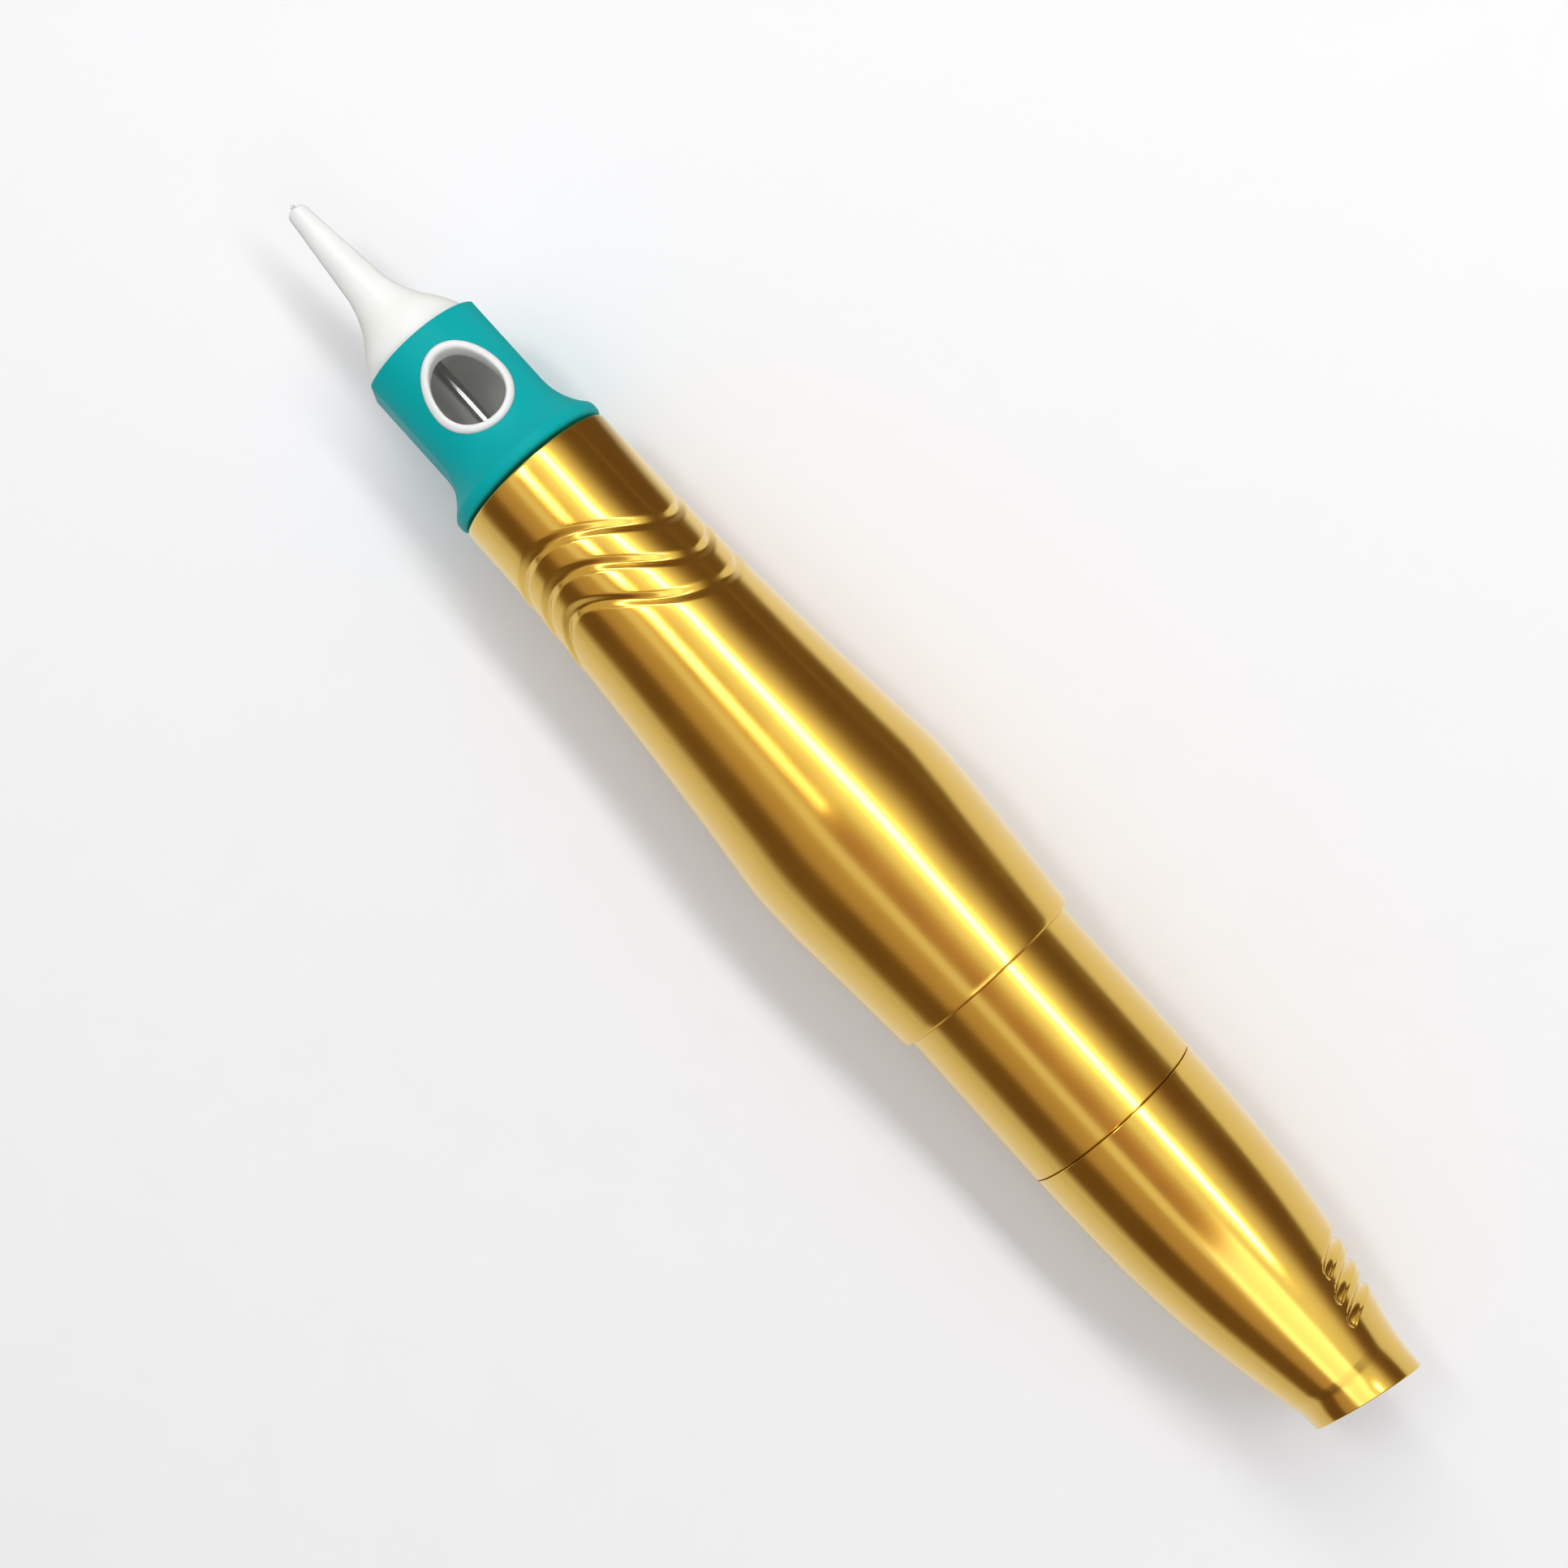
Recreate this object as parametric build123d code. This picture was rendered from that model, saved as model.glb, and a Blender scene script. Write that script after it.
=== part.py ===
from build123d import *
from math import asin, cos, pi, radians, sin, sqrt, tan
import os

# A rotary tattoo pen with its needle cartridge fitted. Lengths are in millimetres.
# The pen lies along X with its needles towards -X, and its belly rests on the plane Z = 0.
# A station is a distance along the pen's axis, counted from the needle points at rest.
# A turn round the axis is counted in degrees from the top, +Z, towards +Y.

# Fits and working values
overrun = 1.0
seat_clearance = 0.02
slide_clearance = 0.05
face_gap = 0.1
edge_chamfer = 0.25

# Stroke: how far the needle runs forwards and back from its rest
stroke_forward = 1.6
stroke_back = 0.9

# Needles and needle bar
needle_reach = 0.6
needle_count = 3
needle_radius = 0.15
needle_tip_radius = 0.02
needle_spacing = 0.02
needle_taper = 1.5
needle_length = 9.0
bar_radius = 0.625
bar_tip_chamfer = 0.2

# Cartridge housing: nose, chamber under the sleeve, and the raised rim of the window
nozzle_radius = 0.8
nozzle_bore_radius = 0.45
nozzle_bore_length = 4.4
nozzle_chamfer = 0.2
nose_length = 17.3
nose_base_radius = 5.65
nose_taper_share = 0.51
nose_taper_radius_share = 0.3
nose_flare_middle_shares = (0.6, 0.52)
throat_clearance = 0.18
throat_cone_length = 1.8
throat_share = 0.66
chamber_step = 0.8
housing_radius = 5.15
housing_wall = 0.8
window_offset = 6.6
window_front_reach = 4.8
window_half_width = 3.65
window_rim_width = 0.75
window_rim_rise = 0.3
cartridge_roll = 7.0

# Cartridge sleeve
sleeve_length = 14.4
sleeve_wall = 1.23
sleeve_flat_depth = 0.6
sleeve_flare_radius = 5.5
flange_rise = 1.5
flange_width = 1.05
flange_chamfer = 0.3

# Cartridge plug, membrane and plunger
plug_radius = 6.0
plug_length = 9.6
plug_wall = 1.3
plug_spigot_length = 1.9
plug_web = 4.4
lug_height = 0.65
lug_width = 2.2
lug_length = 3.2
lug_setback = 1.7
plunger_radius = 2.5
plunger_length = 6.6
plunger_setback = 0.95
plunger_bar_depth = 4.5
membrane_length = 1.6
membrane_rim_width = 0.9
membrane_web = 0.4
membrane_lip_width = 0.7
membrane_lip_length = 1.0

# Grip: socket rings at the front, turned outline, wave grooves and rear bore
front_gap = 0.3
grip_length = 58.75
grip_front_wall = 0.9
socket_wall = 0.85
socket_setback = 0.4
keyway_clearance = 0.12
socket_seal_width = 0.84
socket_seal_setback = 2.8
socket_seal_gap = 0.12
seat_ring_floor = 2.1
seat_ring_step = 1.0
land_step = 0.7
land_gap = 0.4
belly_wall = 3.04
grip_rear_chamfer = 0.18
grip_crest_share = 0.71
grip_crest_front_shares = (0.66, 0.94)
grip_crest_rear_shares = (0.79, 0.942)
groove_half_width = 0.7
groove_floor_half_width = 0.2
groove_depth = 0.32
groove_tool_lift = 0.6
groove_points = 24
groove_turn = 52.0
groove_setback = 9.25
groove_pitch = 3.5
groove_swing = 2.55
groove_wave_shares = (
    (0.0, 1.0, 0.0),
    (1.06, 1.22, 0.1),
    (2.0, 1.33, 0.2),
)
friction_ring_size = 1.0
friction_ring_setback = 3.4
friction_ring_gap = 0.1

# Motor barrel with its spigot
barrel_length = 16.05
spigot_wall = 0.86
shoulder_height = 1.5
barrel_rim_wall = 1.0
tail_joint_length = 6.2
barrel_edge_chamfer = 0.12
bush_wall = 1.2
bush_length = 6.0
bush_flange_rise = 0.8
bush_flange_width = 0.8
seal_width = 1.4
spigot_lead_share = 0.518

# Motor
motor_radius = 6.0
motor_length = 20.0
motor_setback = 2.1
can_wall = 0.5
can_front_wall = 1.0
boss_radius = 2.5
boss_length = 1.2
end_cap_length = 1.8
shaft_radius = 0.75
magnet_radius = 3.3
magnet_length = 12.0
coil_gap = 0.5
coil_wall = 0.6
coil_length = 12.6
coil_standoff = 0.6
bearing_wall = 0.75
commutator_radius = 1.6
commutator_length = 1.9
hub_thickness = 0.9
brush_thickness = 0.2
brush_width = 1.4
brush_length = 2.6
terminal_spread = 3.2
terminal_length = 2.4
terminal_width = 1.6
terminal_thickness = 0.35

# Motor mount and its screws
mount_wall = 0.5
mount_plate = 2.4
mount_grip_share = 0.7
screw_radius = 0.8
screw_head_radius = 1.4
screw_head_height = 1.1
screw_spread = 4.4
hex_recess_share = 0.55

# Cam drum with its oblique groove
cam_radius = 3.6
cam_length = 8.0
cam_gap = 2.5
cam_groove_width = 1.7
cam_groove_depth = 1.1
cam_groove_setback = 3.9
cam_screw_radius = 0.7
cam_screw_setback = 0.95

# Drive carriage, follower and push rod
carriage_clearance = 0.5
carriage_wall = 1.3
carriage_land_width = 2.0
carriage_front_wall = 3.0
carriage_room_front = 3.0
carriage_rear_setback = 0.6
follower_radius = 0.7
follower_clearance = 0.1
guide_pin_radius = 0.6
guide_pin_depth = 1.0
guide_pin_setback = 4.0
rod_radius = 2.0
rod_chamfer = 0.5
rod_seat_share = 0.6

# Tail cap: turned outline, oblique end, scoops and recess
tail_gap = 0.15
tail_length = 32.9
tail_step = 0.04
tail_end_wall = 0.95
tail_end_tilt = 16.3
tail_end_turn = 148.7
tail_ogee_share = 0.88
tail_joint_wall = 1.2
tail_cavity_share = 0.36
scoop_setback = 20.15
scoop_pitch = 2.2
scoop_half_turns = (54.0, 60.0, 63.0)
scoop_level_share = 0.5
scoop_turn = 90.0
scoop_radius = 0.72
scoop_depth = 0.5
scoop_lift = 1.3

# Power jack
jack_setback = 5.65
jack_bore_radius = 1.8
jack_neck_radius = 3.0
jack_neck_length = 4.6
jack_tube_wall = 0.8
jack_tube_length = 6.4
jack_flange_rise = 1.2
jack_flange_width = 1.2
jack_web = 2.4
insulator_floor = 2.8
insulator_tip_depth = 2.0
insulator_room = 0.4
nut_wall = 1.0
nut_thickness = 1.6
nut_slot_width = 1.1
nut_slot_depth = 0.7
nut_room = 0.3
contact_radius = 0.5
contact_reach = 2.0
contact_strip_width = 1.4
contact_strip_thickness = 0.3
contact_foot_height = 0.9

# Leads from the motor to the jack
lead_radius = 0.4
lead_run_share = 0.45
lead_route_shares = (
    (0.0, 0.0, 0.0, 0.0),
    (0.16, 0.0, 0.0, 0.0),
    (0.42, 0.35, 1.0, 0.9),
    (0.66, 0.8, 0.8, 0.5),
    (0.86, 1.0, 0.0, 0.0),
    (1.0, 1.0, 0.0, 0.0),
)
lead_sway = 0.8

# Radii that follow from what fits in what
throat_radius = bar_radius + throat_clearance
chamber_radius = housing_radius - housing_wall
sleeve_bore_radius = housing_radius + seat_clearance
crown_radius = sleeve_bore_radius + sleeve_wall
flange_radius = crown_radius + flange_rise
window_rim_radius = crown_radius + window_rim_rise
socket_bore_radius = plug_radius + slide_clearance
socket_radius = socket_bore_radius + socket_wall
grip_front_bore = socket_radius + seat_clearance
grip_front_radius = grip_front_bore + grip_front_wall
land_radius = socket_bore_radius - land_step
mount_radius = motor_radius + seat_clearance + mount_wall
barrel_bore = mount_radius + seat_clearance
spigot_radius = barrel_bore + spigot_wall
barrel_radius = spigot_radius + shoulder_height
grip_rear_bore = spigot_radius + slide_clearance
belly_radius = grip_rear_bore + belly_wall
barrel_rim_bore = barrel_radius - barrel_rim_wall
tail_joint_radius = barrel_rim_bore - seat_clearance
tail_cavity_radius = tail_joint_radius - tail_joint_wall
tail_front_radius = barrel_radius - tail_step
nut_radius = jack_neck_radius + nut_wall
recess_radius = nut_radius + nut_room
tail_end_radius = recess_radius + tail_end_wall
jack_flange_radius = jack_neck_radius + jack_flange_rise
jack_cavity_radius = jack_flange_radius + insulator_room
bearing_radius = shaft_radius + bearing_wall
coil_radius = magnet_radius + coil_gap
carriage_bore = cam_radius + carriage_clearance
carriage_radius = carriage_bore + carriage_wall
carriage_land_radius = barrel_bore - slide_clearance
bush_radius = rod_radius + slide_clearance + bush_wall

# Stations that follow from the lengths
nozzle_front = needle_reach
sleeve_front = nozzle_front + nose_length
sleeve_rear = sleeve_front + sleeve_length
chamber_front = sleeve_front + chamber_step
window_station = sleeve_front + window_offset
plug_front = sleeve_rear - plug_spigot_length
plug_rear = sleeve_rear + plug_length
plunger_rear = plug_rear - plunger_setback
plunger_front = plunger_rear - plunger_length
grip_front = sleeve_rear + front_gap
grip_rear = grip_front + grip_length
socket_seal_station = plug_rear - socket_seal_setback
seat_ring_rear = plug_rear + face_gap + seat_ring_floor
shoulder = grip_rear + face_gap
barrel_rear = shoulder + barrel_length
tail_front = barrel_rear + tail_gap
tail_end = tail_front + tail_length
overall_length = tail_end + tail_end_radius * tan(radians(tail_end_tilt))
friction_ring_station = grip_rear - friction_ring_setback
motor_rear = barrel_rear - motor_setback
motor_front = motor_rear - motor_length
mount_front = motor_front - mount_plate
cam_rear = mount_front - cam_gap
cam_front = cam_rear - cam_length
cam_groove_station = cam_front + cam_groove_setback
carriage_rear = cam_rear - carriage_rear_setback
carriage_floor = cam_front - carriage_room_front
carriage_front = carriage_floor - carriage_front_wall
rod_room = carriage_front - bush_length - seat_ring_rear
spigot_front = seat_ring_rear + spigot_lead_share * rod_room
guide_pin_station = carriage_floor + guide_pin_setback
tail_joint_front = barrel_rear - tail_joint_length
jack_mouth = tail_end - jack_setback
jack_web_front = jack_mouth - jack_neck_length
jack_flange_front = jack_web_front - jack_flange_width
jack_tube_front = jack_flange_front - jack_tube_length
insulator_front = jack_tube_front - insulator_floor
contact_front = insulator_front - contact_reach
recess_floor = jack_web_front + jack_web

# The follower sits off the middle of its stroke at rest, so the cam groove is turned to meet it
stroke_half = (stroke_forward + stroke_back) / 2
follower_station = cam_groove_station + (stroke_forward - stroke_back) / 2
cam_turn = 90 - asin((stroke_forward - stroke_back) / 2 / stroke_half) * 180 / pi


def rod(radius, start, end):
    """A round bar about the pen's axis from one station to another."""
    return Pos((start + end) / 2, 0, 0) * Rot(0, 90, 0) * Cylinder(radius, end - start)


def tube(outer, inner, start, end):
    """A round bar with a bore right through it."""
    return rod(outer, start, end) - rod(inner, start - overrun, end + overrun)


def turned(*edges):
    """Turn a closed outline of stations and radii about the pen's axis."""
    return revolve(make_face(Curve() + list(edges)), Axis.X)


def turned_steps(*points):
    """Turn a closed outline of straight edges about the pen's axis."""
    return turned(Polyline(*points, close=True))


def spoke(radius, inner, outer, station):
    """A round pin that stands out from the axis towards +Z, between two radii."""
    return Pos(station, 0, (inner + outer) / 2) * Cylinder(radius, outer - inner)


def at_turn(turn, shape):
    """Turn a shape about the pen's axis, from the top towards +Y."""
    return Rot(-turn, 0, 0) * shape


def edges_at(shape, station, radius):
    """The round edges of a turned shape at one station and radius."""
    near = slide_clearance / 2
    rings = shape.edges().filter_by(GeomType.CIRCLE)
    rings = rings.filter_by(lambda e: abs(e.arc_center.X - station) < near)
    return rings.filter_by(lambda e: abs(e.radius - radius) < near)


def needle_points():
    """Fine needles side by side, ground to a point and soldered to the front of the bar."""
    tip = (0, needle_tip_radius)
    taper_end = (needle_taper, needle_radius)
    rear = (needle_length, needle_radius)
    needle = turned_steps((0, 0), tip, taper_end, rear, (needle_length, 0))
    spread = (needle_radius + needle_spacing / 2) / sin(pi / needle_count)
    turns = [360 * i / needle_count for i in range(needle_count)]
    return Compound(children=[at_turn(t, Pos(0, 0, spread) * needle) for t in turns])


def needle_bar():
    """The steel bar between the needles and the plunger."""
    bar = rod(bar_radius, needle_length, plunger_front + plunger_bar_depth)
    return chamfer(edges_at(bar, needle_length, bar_radius), bar_tip_chamfer)


def needle_plunger():
    """The moulded plunger on the bar, which the push rod drives."""
    body = rod(plunger_radius, plunger_front, plunger_rear)
    body -= rod(bar_radius + seat_clearance, plunger_front - overrun, plunger_front + plunger_bar_depth)
    return chamfer(edges_at(body, plunger_rear, plunger_radius), edge_chamfer)


def window_face(inset):
    """The window's outline from above, an egg: round to the rear and longer towards the needles."""
    width = window_half_width - inset
    front = EllipticalCenterArc((0, 0), window_front_reach - inset, width, 90, arc_size=180)
    rear = CenterArc((0, 0), width, -90, 180)
    return make_face(Curve() + [front, rear])


def window_prism(inset):
    """The window's outline carried straight up from the axis past the crown of the sleeve."""
    return Pos(window_station, 0, 0) * extrude(window_face(inset), window_rim_radius + overrun)


def nose_outline(mouth, base):
    """The nose's outer curve: a slim taper that flares, and eases again at its base."""
    taper_radius = nose_taper_radius_share * nose_base_radius
    taper = Line(mouth, (nozzle_front + nose_taper_share * nose_length, taper_radius))
    along, up = nose_flare_middle_shares
    start = taper @ 1
    middle = (start.X + along * (base[0] - start.X), start.Y + up * (base[1] - start.Y))
    flare = TangentArc(start, middle, tangent=taper % 1)
    return [taper, flare, TangentArc(middle, base, tangent=flare % 1)]


def cartridge_housing():
    """The white moulding: slim nose, chamber, and an open window with a raised rim."""
    mouth = (nozzle_front, nozzle_radius)
    base = (sleeve_front, nose_base_radius)
    step = (sleeve_front, housing_radius)
    rear = (sleeve_rear, housing_radius)
    closing = Polyline(base, step, rear, (sleeve_rear, 0), (nozzle_front, 0), mouth)
    housing = turned(*nose_outline(mouth, base), closing)
    housing = chamfer(edges_at(housing, nozzle_front, nozzle_radius), nozzle_chamfer)
    boss = window_prism(0) & rod(window_rim_radius, sleeve_front, sleeve_rear)
    housing += boss
    bore_end = nozzle_front + nozzle_bore_length
    throat_front = bore_end + throat_cone_length
    throat_rear = nozzle_front + throat_share * nose_length
    housing -= turned_steps(
        (nozzle_front - overrun, 0),
        (nozzle_front - overrun, nozzle_bore_radius),
        (bore_end, nozzle_bore_radius),
        (throat_front, throat_radius),
        (throat_rear, throat_radius),
        (chamber_front, chamber_radius),
        (sleeve_rear + overrun, chamber_radius),
        (sleeve_rear + overrun, 0),
    )
    return housing - window_prism(window_rim_width)


def sleeve_side_cut():
    """What a side flat takes away, with a curved run-out towards the flange."""
    flat = crown_radius - sleeve_flat_depth
    outside = flange_radius + overrun
    flange_front = sleeve_rear - flange_width
    rise = flange_radius - flat
    reach = sqrt(sleeve_flare_radius**2 - (sleeve_flare_radius - rise) ** 2)
    flat_end = flange_front - reach
    run_out = TangentArc((flat_end, flat), (flange_front, flange_radius), tangent=(1, 0))
    front = sleeve_front - overrun
    closing = Polyline(
        (flange_front, flange_radius),
        (flange_front, outside),
        (front, outside),
        (front, flat),
        (flat_end, flat),
    )
    return extrude(make_face(Curve() + [run_out, closing]), flange_radius, both=True)


def cartridge_sleeve():
    """The coloured sleeve: round crown, two side flats, a window opening and a flared flange."""
    flange_front = sleeve_rear - flange_width
    reach = sqrt(sleeve_flare_radius**2 - (sleeve_flare_radius - flange_rise) ** 2)
    neck_end = (flange_front - reach, crown_radius)
    flange_edge = (flange_front, flange_radius)
    flare = TangentArc(neck_end, flange_edge, tangent=(1, 0))
    closing = Polyline(
        flange_edge,
        (sleeve_rear, flange_radius),
        (sleeve_rear, sleeve_bore_radius),
        (sleeve_front, sleeve_bore_radius),
        (sleeve_front, crown_radius),
        neck_end,
    )
    sleeve = turned(flare, closing)
    sleeve = chamfer(edges_at(sleeve, sleeve_rear, flange_radius), flange_chamfer)
    side = sleeve_side_cut()
    sleeve -= side
    sleeve -= mirror(side, Plane.XZ)
    return sleeve - window_prism(-seat_clearance)


def cartridge_membrane():
    """The rubber membrane that wipes the bar and pulls the needle back."""
    rim = chamber_radius - seat_clearance
    lip = bar_radius + slide_clearance
    front = plug_front - membrane_length
    middle = (front + plug_front) / 2
    half_web = membrane_web / 2
    half_lip = membrane_lip_length / 2
    rim_inner = rim - membrane_rim_width
    lip_outer = lip + membrane_lip_width
    return turned_steps(
        (front, rim),
        (front, rim_inner),
        (middle - half_web, rim_inner),
        (middle - half_web, lip_outer),
        (middle - half_lip, lip_outer),
        (middle - half_lip, lip),
        (middle + half_lip, lip),
        (middle + half_lip, lip_outer),
        (middle + half_web, lip_outer),
        (middle + half_web, rim_inner),
        (plug_front, rim_inner),
        (plug_front, rim),
    )


def cartridge_plug():
    """The rear of the cartridge, which plugs into the grip and guides the plunger."""
    plug = rod(plug_radius, sleeve_rear, plug_rear)
    plug = chamfer(edges_at(plug, plug_rear, plug_radius), edge_chamfer)
    plug += rod(chamber_radius - seat_clearance, plug_front, sleeve_rear)
    lug_front = sleeve_rear + lug_setback
    lug_middle = lug_front + lug_length / 2
    lug_outer = plug_radius + lug_height
    lug = Pos(lug_middle, 0, lug_outer / 2) * Box(lug_length, lug_width, lug_outer)
    for turn in (90, 270):
        plug += at_turn(turn, lug)
    bore = bar_radius + plug_wall
    web_rear = sleeve_rear + plug_web
    guide = plunger_radius + slide_clearance
    plug -= rod(bore, plug_front - overrun, web_rear)
    plug -= rod(guide, plunger_front - stroke_forward - face_gap, plug_rear)
    return plug - rod(plug_radius - plug_wall, web_rear, plug_rear + overrun)


def key_socket():
    """The steel ring at the mouth of the grip, slotted for the lugs of the cartridge."""
    front = grip_front + socket_setback
    rear = socket_seal_station - socket_seal_width / 2 - socket_seal_gap
    socket = tube(socket_radius, socket_bore_radius, front, rear)
    slot_rear = sleeve_rear + lug_setback + lug_length + face_gap
    slot_width = lug_width + 2 * keyway_clearance
    length = slot_rear - front + overrun
    slot = Box(length, slot_width, socket_radius + overrun)
    middle = slot_rear - length / 2
    for turn in (90, 270):
        socket -= at_turn(turn, Pos(middle, 0, (socket_radius + overrun) / 2) * slot)
    return socket


def socket_seal():
    """The square-cut rubber ring between the socket rings that holds the plug by friction."""
    half_width = socket_seal_width / 2
    front = socket_seal_station - half_width
    return tube(socket_radius, socket_bore_radius, front, socket_seal_station + half_width)


def seat_ring():
    """The ring behind the sealing ring, with the floor that the plug stops on."""
    front = socket_seal_station + socket_seal_width / 2 + socket_seal_gap
    floor = plug_rear + face_gap
    inner = socket_bore_radius - seat_ring_step
    body = rod(socket_radius, front, seat_ring_rear)
    body -= rod(socket_bore_radius, front - overrun, floor)
    return body - rod(inner, floor - overrun, seat_ring_rear + overrun)


def grip_outline():
    """The grip's outer curve: a hollow taper, a swelling belly, and a straight fall to the rear."""
    rise = belly_radius - grip_front_radius

    def place(along, up):
        return Vector(grip_front + along * grip_length, grip_front_radius + up * rise)

    crest = place(grip_crest_share, 1)
    crest_front = TangentArc(crest, place(*grip_crest_front_shares), tangent=(-1, 0))
    crest_rear = TangentArc(crest, place(*grip_crest_rear_shares), tangent=(1, 0))
    taper = TangentArc(crest_front @ 1, place(0, 0), tangent=crest_front % 1)
    fall_start = crest_rear @ 1
    slope = crest_rear % 1
    fall = Line(fall_start, fall_start + slope * ((grip_rear - fall_start.X) / slope.X))
    return [taper, crest_front, crest_rear, fall]


def radius_on(outline, station):
    """The radius of an outer curve at one station, found by halving."""
    curve = Wire(outline)
    front, rear = 0.0, 1.0
    if (curve @ front).X > (curve @ rear).X:
        front, rear = rear, front
    for _ in range(24):
        middle = (front + rear) / 2
        if (curve @ middle).X < station:
            front = middle
        else:
            rear = middle
    return (curve @ front).Y


def groove_curve(outline, wave, shift, lift):
    """One closed edge of a wave groove, beside its middle line and above the grip's surface."""
    pitches, swing_share, pointed = wave
    middle = grip_front + groove_setback + pitches * groove_pitch
    swing = swing_share * groove_swing
    points = []
    for step in range(groove_points):
        turn = 360 * step / groove_points
        phase = radians(2 * (turn - groove_turn))
        station = middle + swing * (cos(phase) - pointed * cos(2 * phase))
        radius = radius_on(outline, station) + lift
        angle = radians(turn)
        points.append((station + shift, radius * sin(angle), radius * cos(angle)))
    return Spline(*points, periodic=True)


def wave_groove(outline, wave):
    """A groove that swings along the grip and back twice in one turn, with sloping walls."""
    wall_run = groove_half_width - groove_floor_half_width
    mouth = groove_half_width + wall_run * groove_tool_lift / groove_depth
    section = (
        (-mouth, groove_tool_lift),
        (-groove_floor_half_width, -groove_depth),
        (groove_floor_half_width, -groove_depth),
        (mouth, groove_tool_lift),
    )
    curves = [groove_curve(outline, wave, shift, lift) for shift, lift in section]
    pairs = zip(curves, curves[1:] + curves[:1])
    return Solid(Shell([Face.make_surface_from_curves(a, b) for a, b in pairs]))


def grip_shell():
    """The turned shell that the fingers hold, with three wave grooves round its front."""
    outline = grip_outline()
    rear_radius = (outline[-1] @ 1).Y
    land_rear = spigot_front - land_gap
    closing = Polyline(
        (grip_rear, rear_radius),
        (grip_rear, grip_rear_bore),
        (land_rear, grip_rear_bore),
        (land_rear, land_radius),
        (seat_ring_rear, land_radius),
        (seat_ring_rear, grip_front_bore),
        (grip_front, grip_front_bore),
        (grip_front, grip_front_radius),
    )
    shell = turned(*outline, closing)
    shell = chamfer(edges_at(shell, grip_rear, rear_radius), grip_rear_chamfer)
    shell = chamfer(edges_at(shell, grip_front, grip_front_radius), edge_chamfer)
    for wave in groove_wave_shares:
        shell -= wave_groove(outline, wave)
    half_width = friction_ring_size / 2 + friction_ring_gap
    groove_bottom = spigot_radius + slide_clearance + friction_ring_size + friction_ring_gap
    front = friction_ring_station - half_width
    return shell - rod(groove_bottom, front, friction_ring_station + half_width)


def friction_ring():
    """The square-cut rubber ring in the grip that rubs on the spigot as the grip is screwed."""
    half_width = friction_ring_size / 2
    inner = spigot_radius + slide_clearance
    front = friction_ring_station - half_width
    return tube(inner + friction_ring_size, inner, front, friction_ring_station + half_width)


def motor_barrel():
    """The barrel: a long spigot inside the grip, a shoulder, and the straight outer part."""
    body = rod(spigot_radius, spigot_front, shoulder)
    body = chamfer(edges_at(body, spigot_front, spigot_radius), edge_chamfer)
    outer = rod(barrel_radius, shoulder, barrel_rear)
    outer = chamfer(outer.edges().filter_by(GeomType.CIRCLE), barrel_edge_chamfer)
    body += outer
    wall_rear = spigot_front + bush_length
    body -= rod(bush_radius + seat_clearance, spigot_front - overrun, wall_rear + overrun)
    body -= rod(barrel_bore, wall_rear, barrel_rear + overrun)
    body -= rod(barrel_rim_bore, tail_joint_front, barrel_rear + overrun)
    hole = spoke(guide_pin_radius + seat_clearance, 0, spigot_radius + overrun, guide_pin_station)
    return body - at_turn(180, hole)


def push_rod_bush():
    """The flanged bronze bush that guides the push rod."""
    front = spigot_front + seal_width
    rear = spigot_front + bush_length
    body = rod(bush_radius, front, rear)
    body += rod(bush_radius + bush_flange_rise, rear, rear + bush_flange_width)
    return body - rod(rod_radius + slide_clearance, front - overrun, rear + bush_flange_width + overrun)


def rod_seal():
    """The lip seal in front of the bush that keeps ink away from the drive."""
    return tube(bush_radius, rod_radius + slide_clearance, spigot_front, spigot_front + seal_width)


def push_rod():
    """The rod that drives the plunger, with a chamfered tip and a seat in the carriage."""
    tip = plunger_rear + face_gap
    seat = carriage_front + rod_seat_share * carriage_front_wall
    body = rod(rod_radius, tip, seat)
    return chamfer(edges_at(body, tip, rod_radius), rod_chamfer)


def drive_carriage():
    """The cup round the cam that carries the follower and the push rod."""
    body = rod(carriage_radius, carriage_front, carriage_rear)
    front_land = rod(carriage_land_radius, carriage_front, carriage_front + carriage_land_width)
    rear_land = rod(carriage_land_radius, carriage_rear - carriage_land_width, carriage_rear)
    body += front_land + rear_land
    body -= rod(carriage_bore, carriage_floor, carriage_rear + overrun)
    seat = carriage_front + rod_seat_share * carriage_front_wall
    body -= rod(rod_radius + seat_clearance, carriage_front - overrun, seat)
    body -= spoke(follower_radius + seat_clearance, 0, carriage_radius + overrun, follower_station)
    slot_front = guide_pin_station - guide_pin_radius - stroke_back - face_gap
    slot_rear = guide_pin_station + guide_pin_radius + stroke_forward + face_gap
    slot_width = 2 * (guide_pin_radius + slide_clearance)
    slot_height = carriage_radius + overrun
    slot = Box(slot_rear - slot_front, slot_width, slot_height)
    return body - Pos((slot_front + slot_rear) / 2, 0, -slot_height / 2) * slot


def follower_pin():
    """The steel pin in the carriage that reaches in to the cam groove's mouth."""
    inner = cam_radius + follower_clearance
    return spoke(follower_radius, inner, carriage_radius, follower_station)


def guide_pin():
    """The pin in the barrel's spigot that keeps the carriage from turning."""
    inner = carriage_radius - guide_pin_depth
    return at_turn(180, spoke(guide_pin_radius, inner, spigot_radius - slide_clearance, guide_pin_station))


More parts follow.
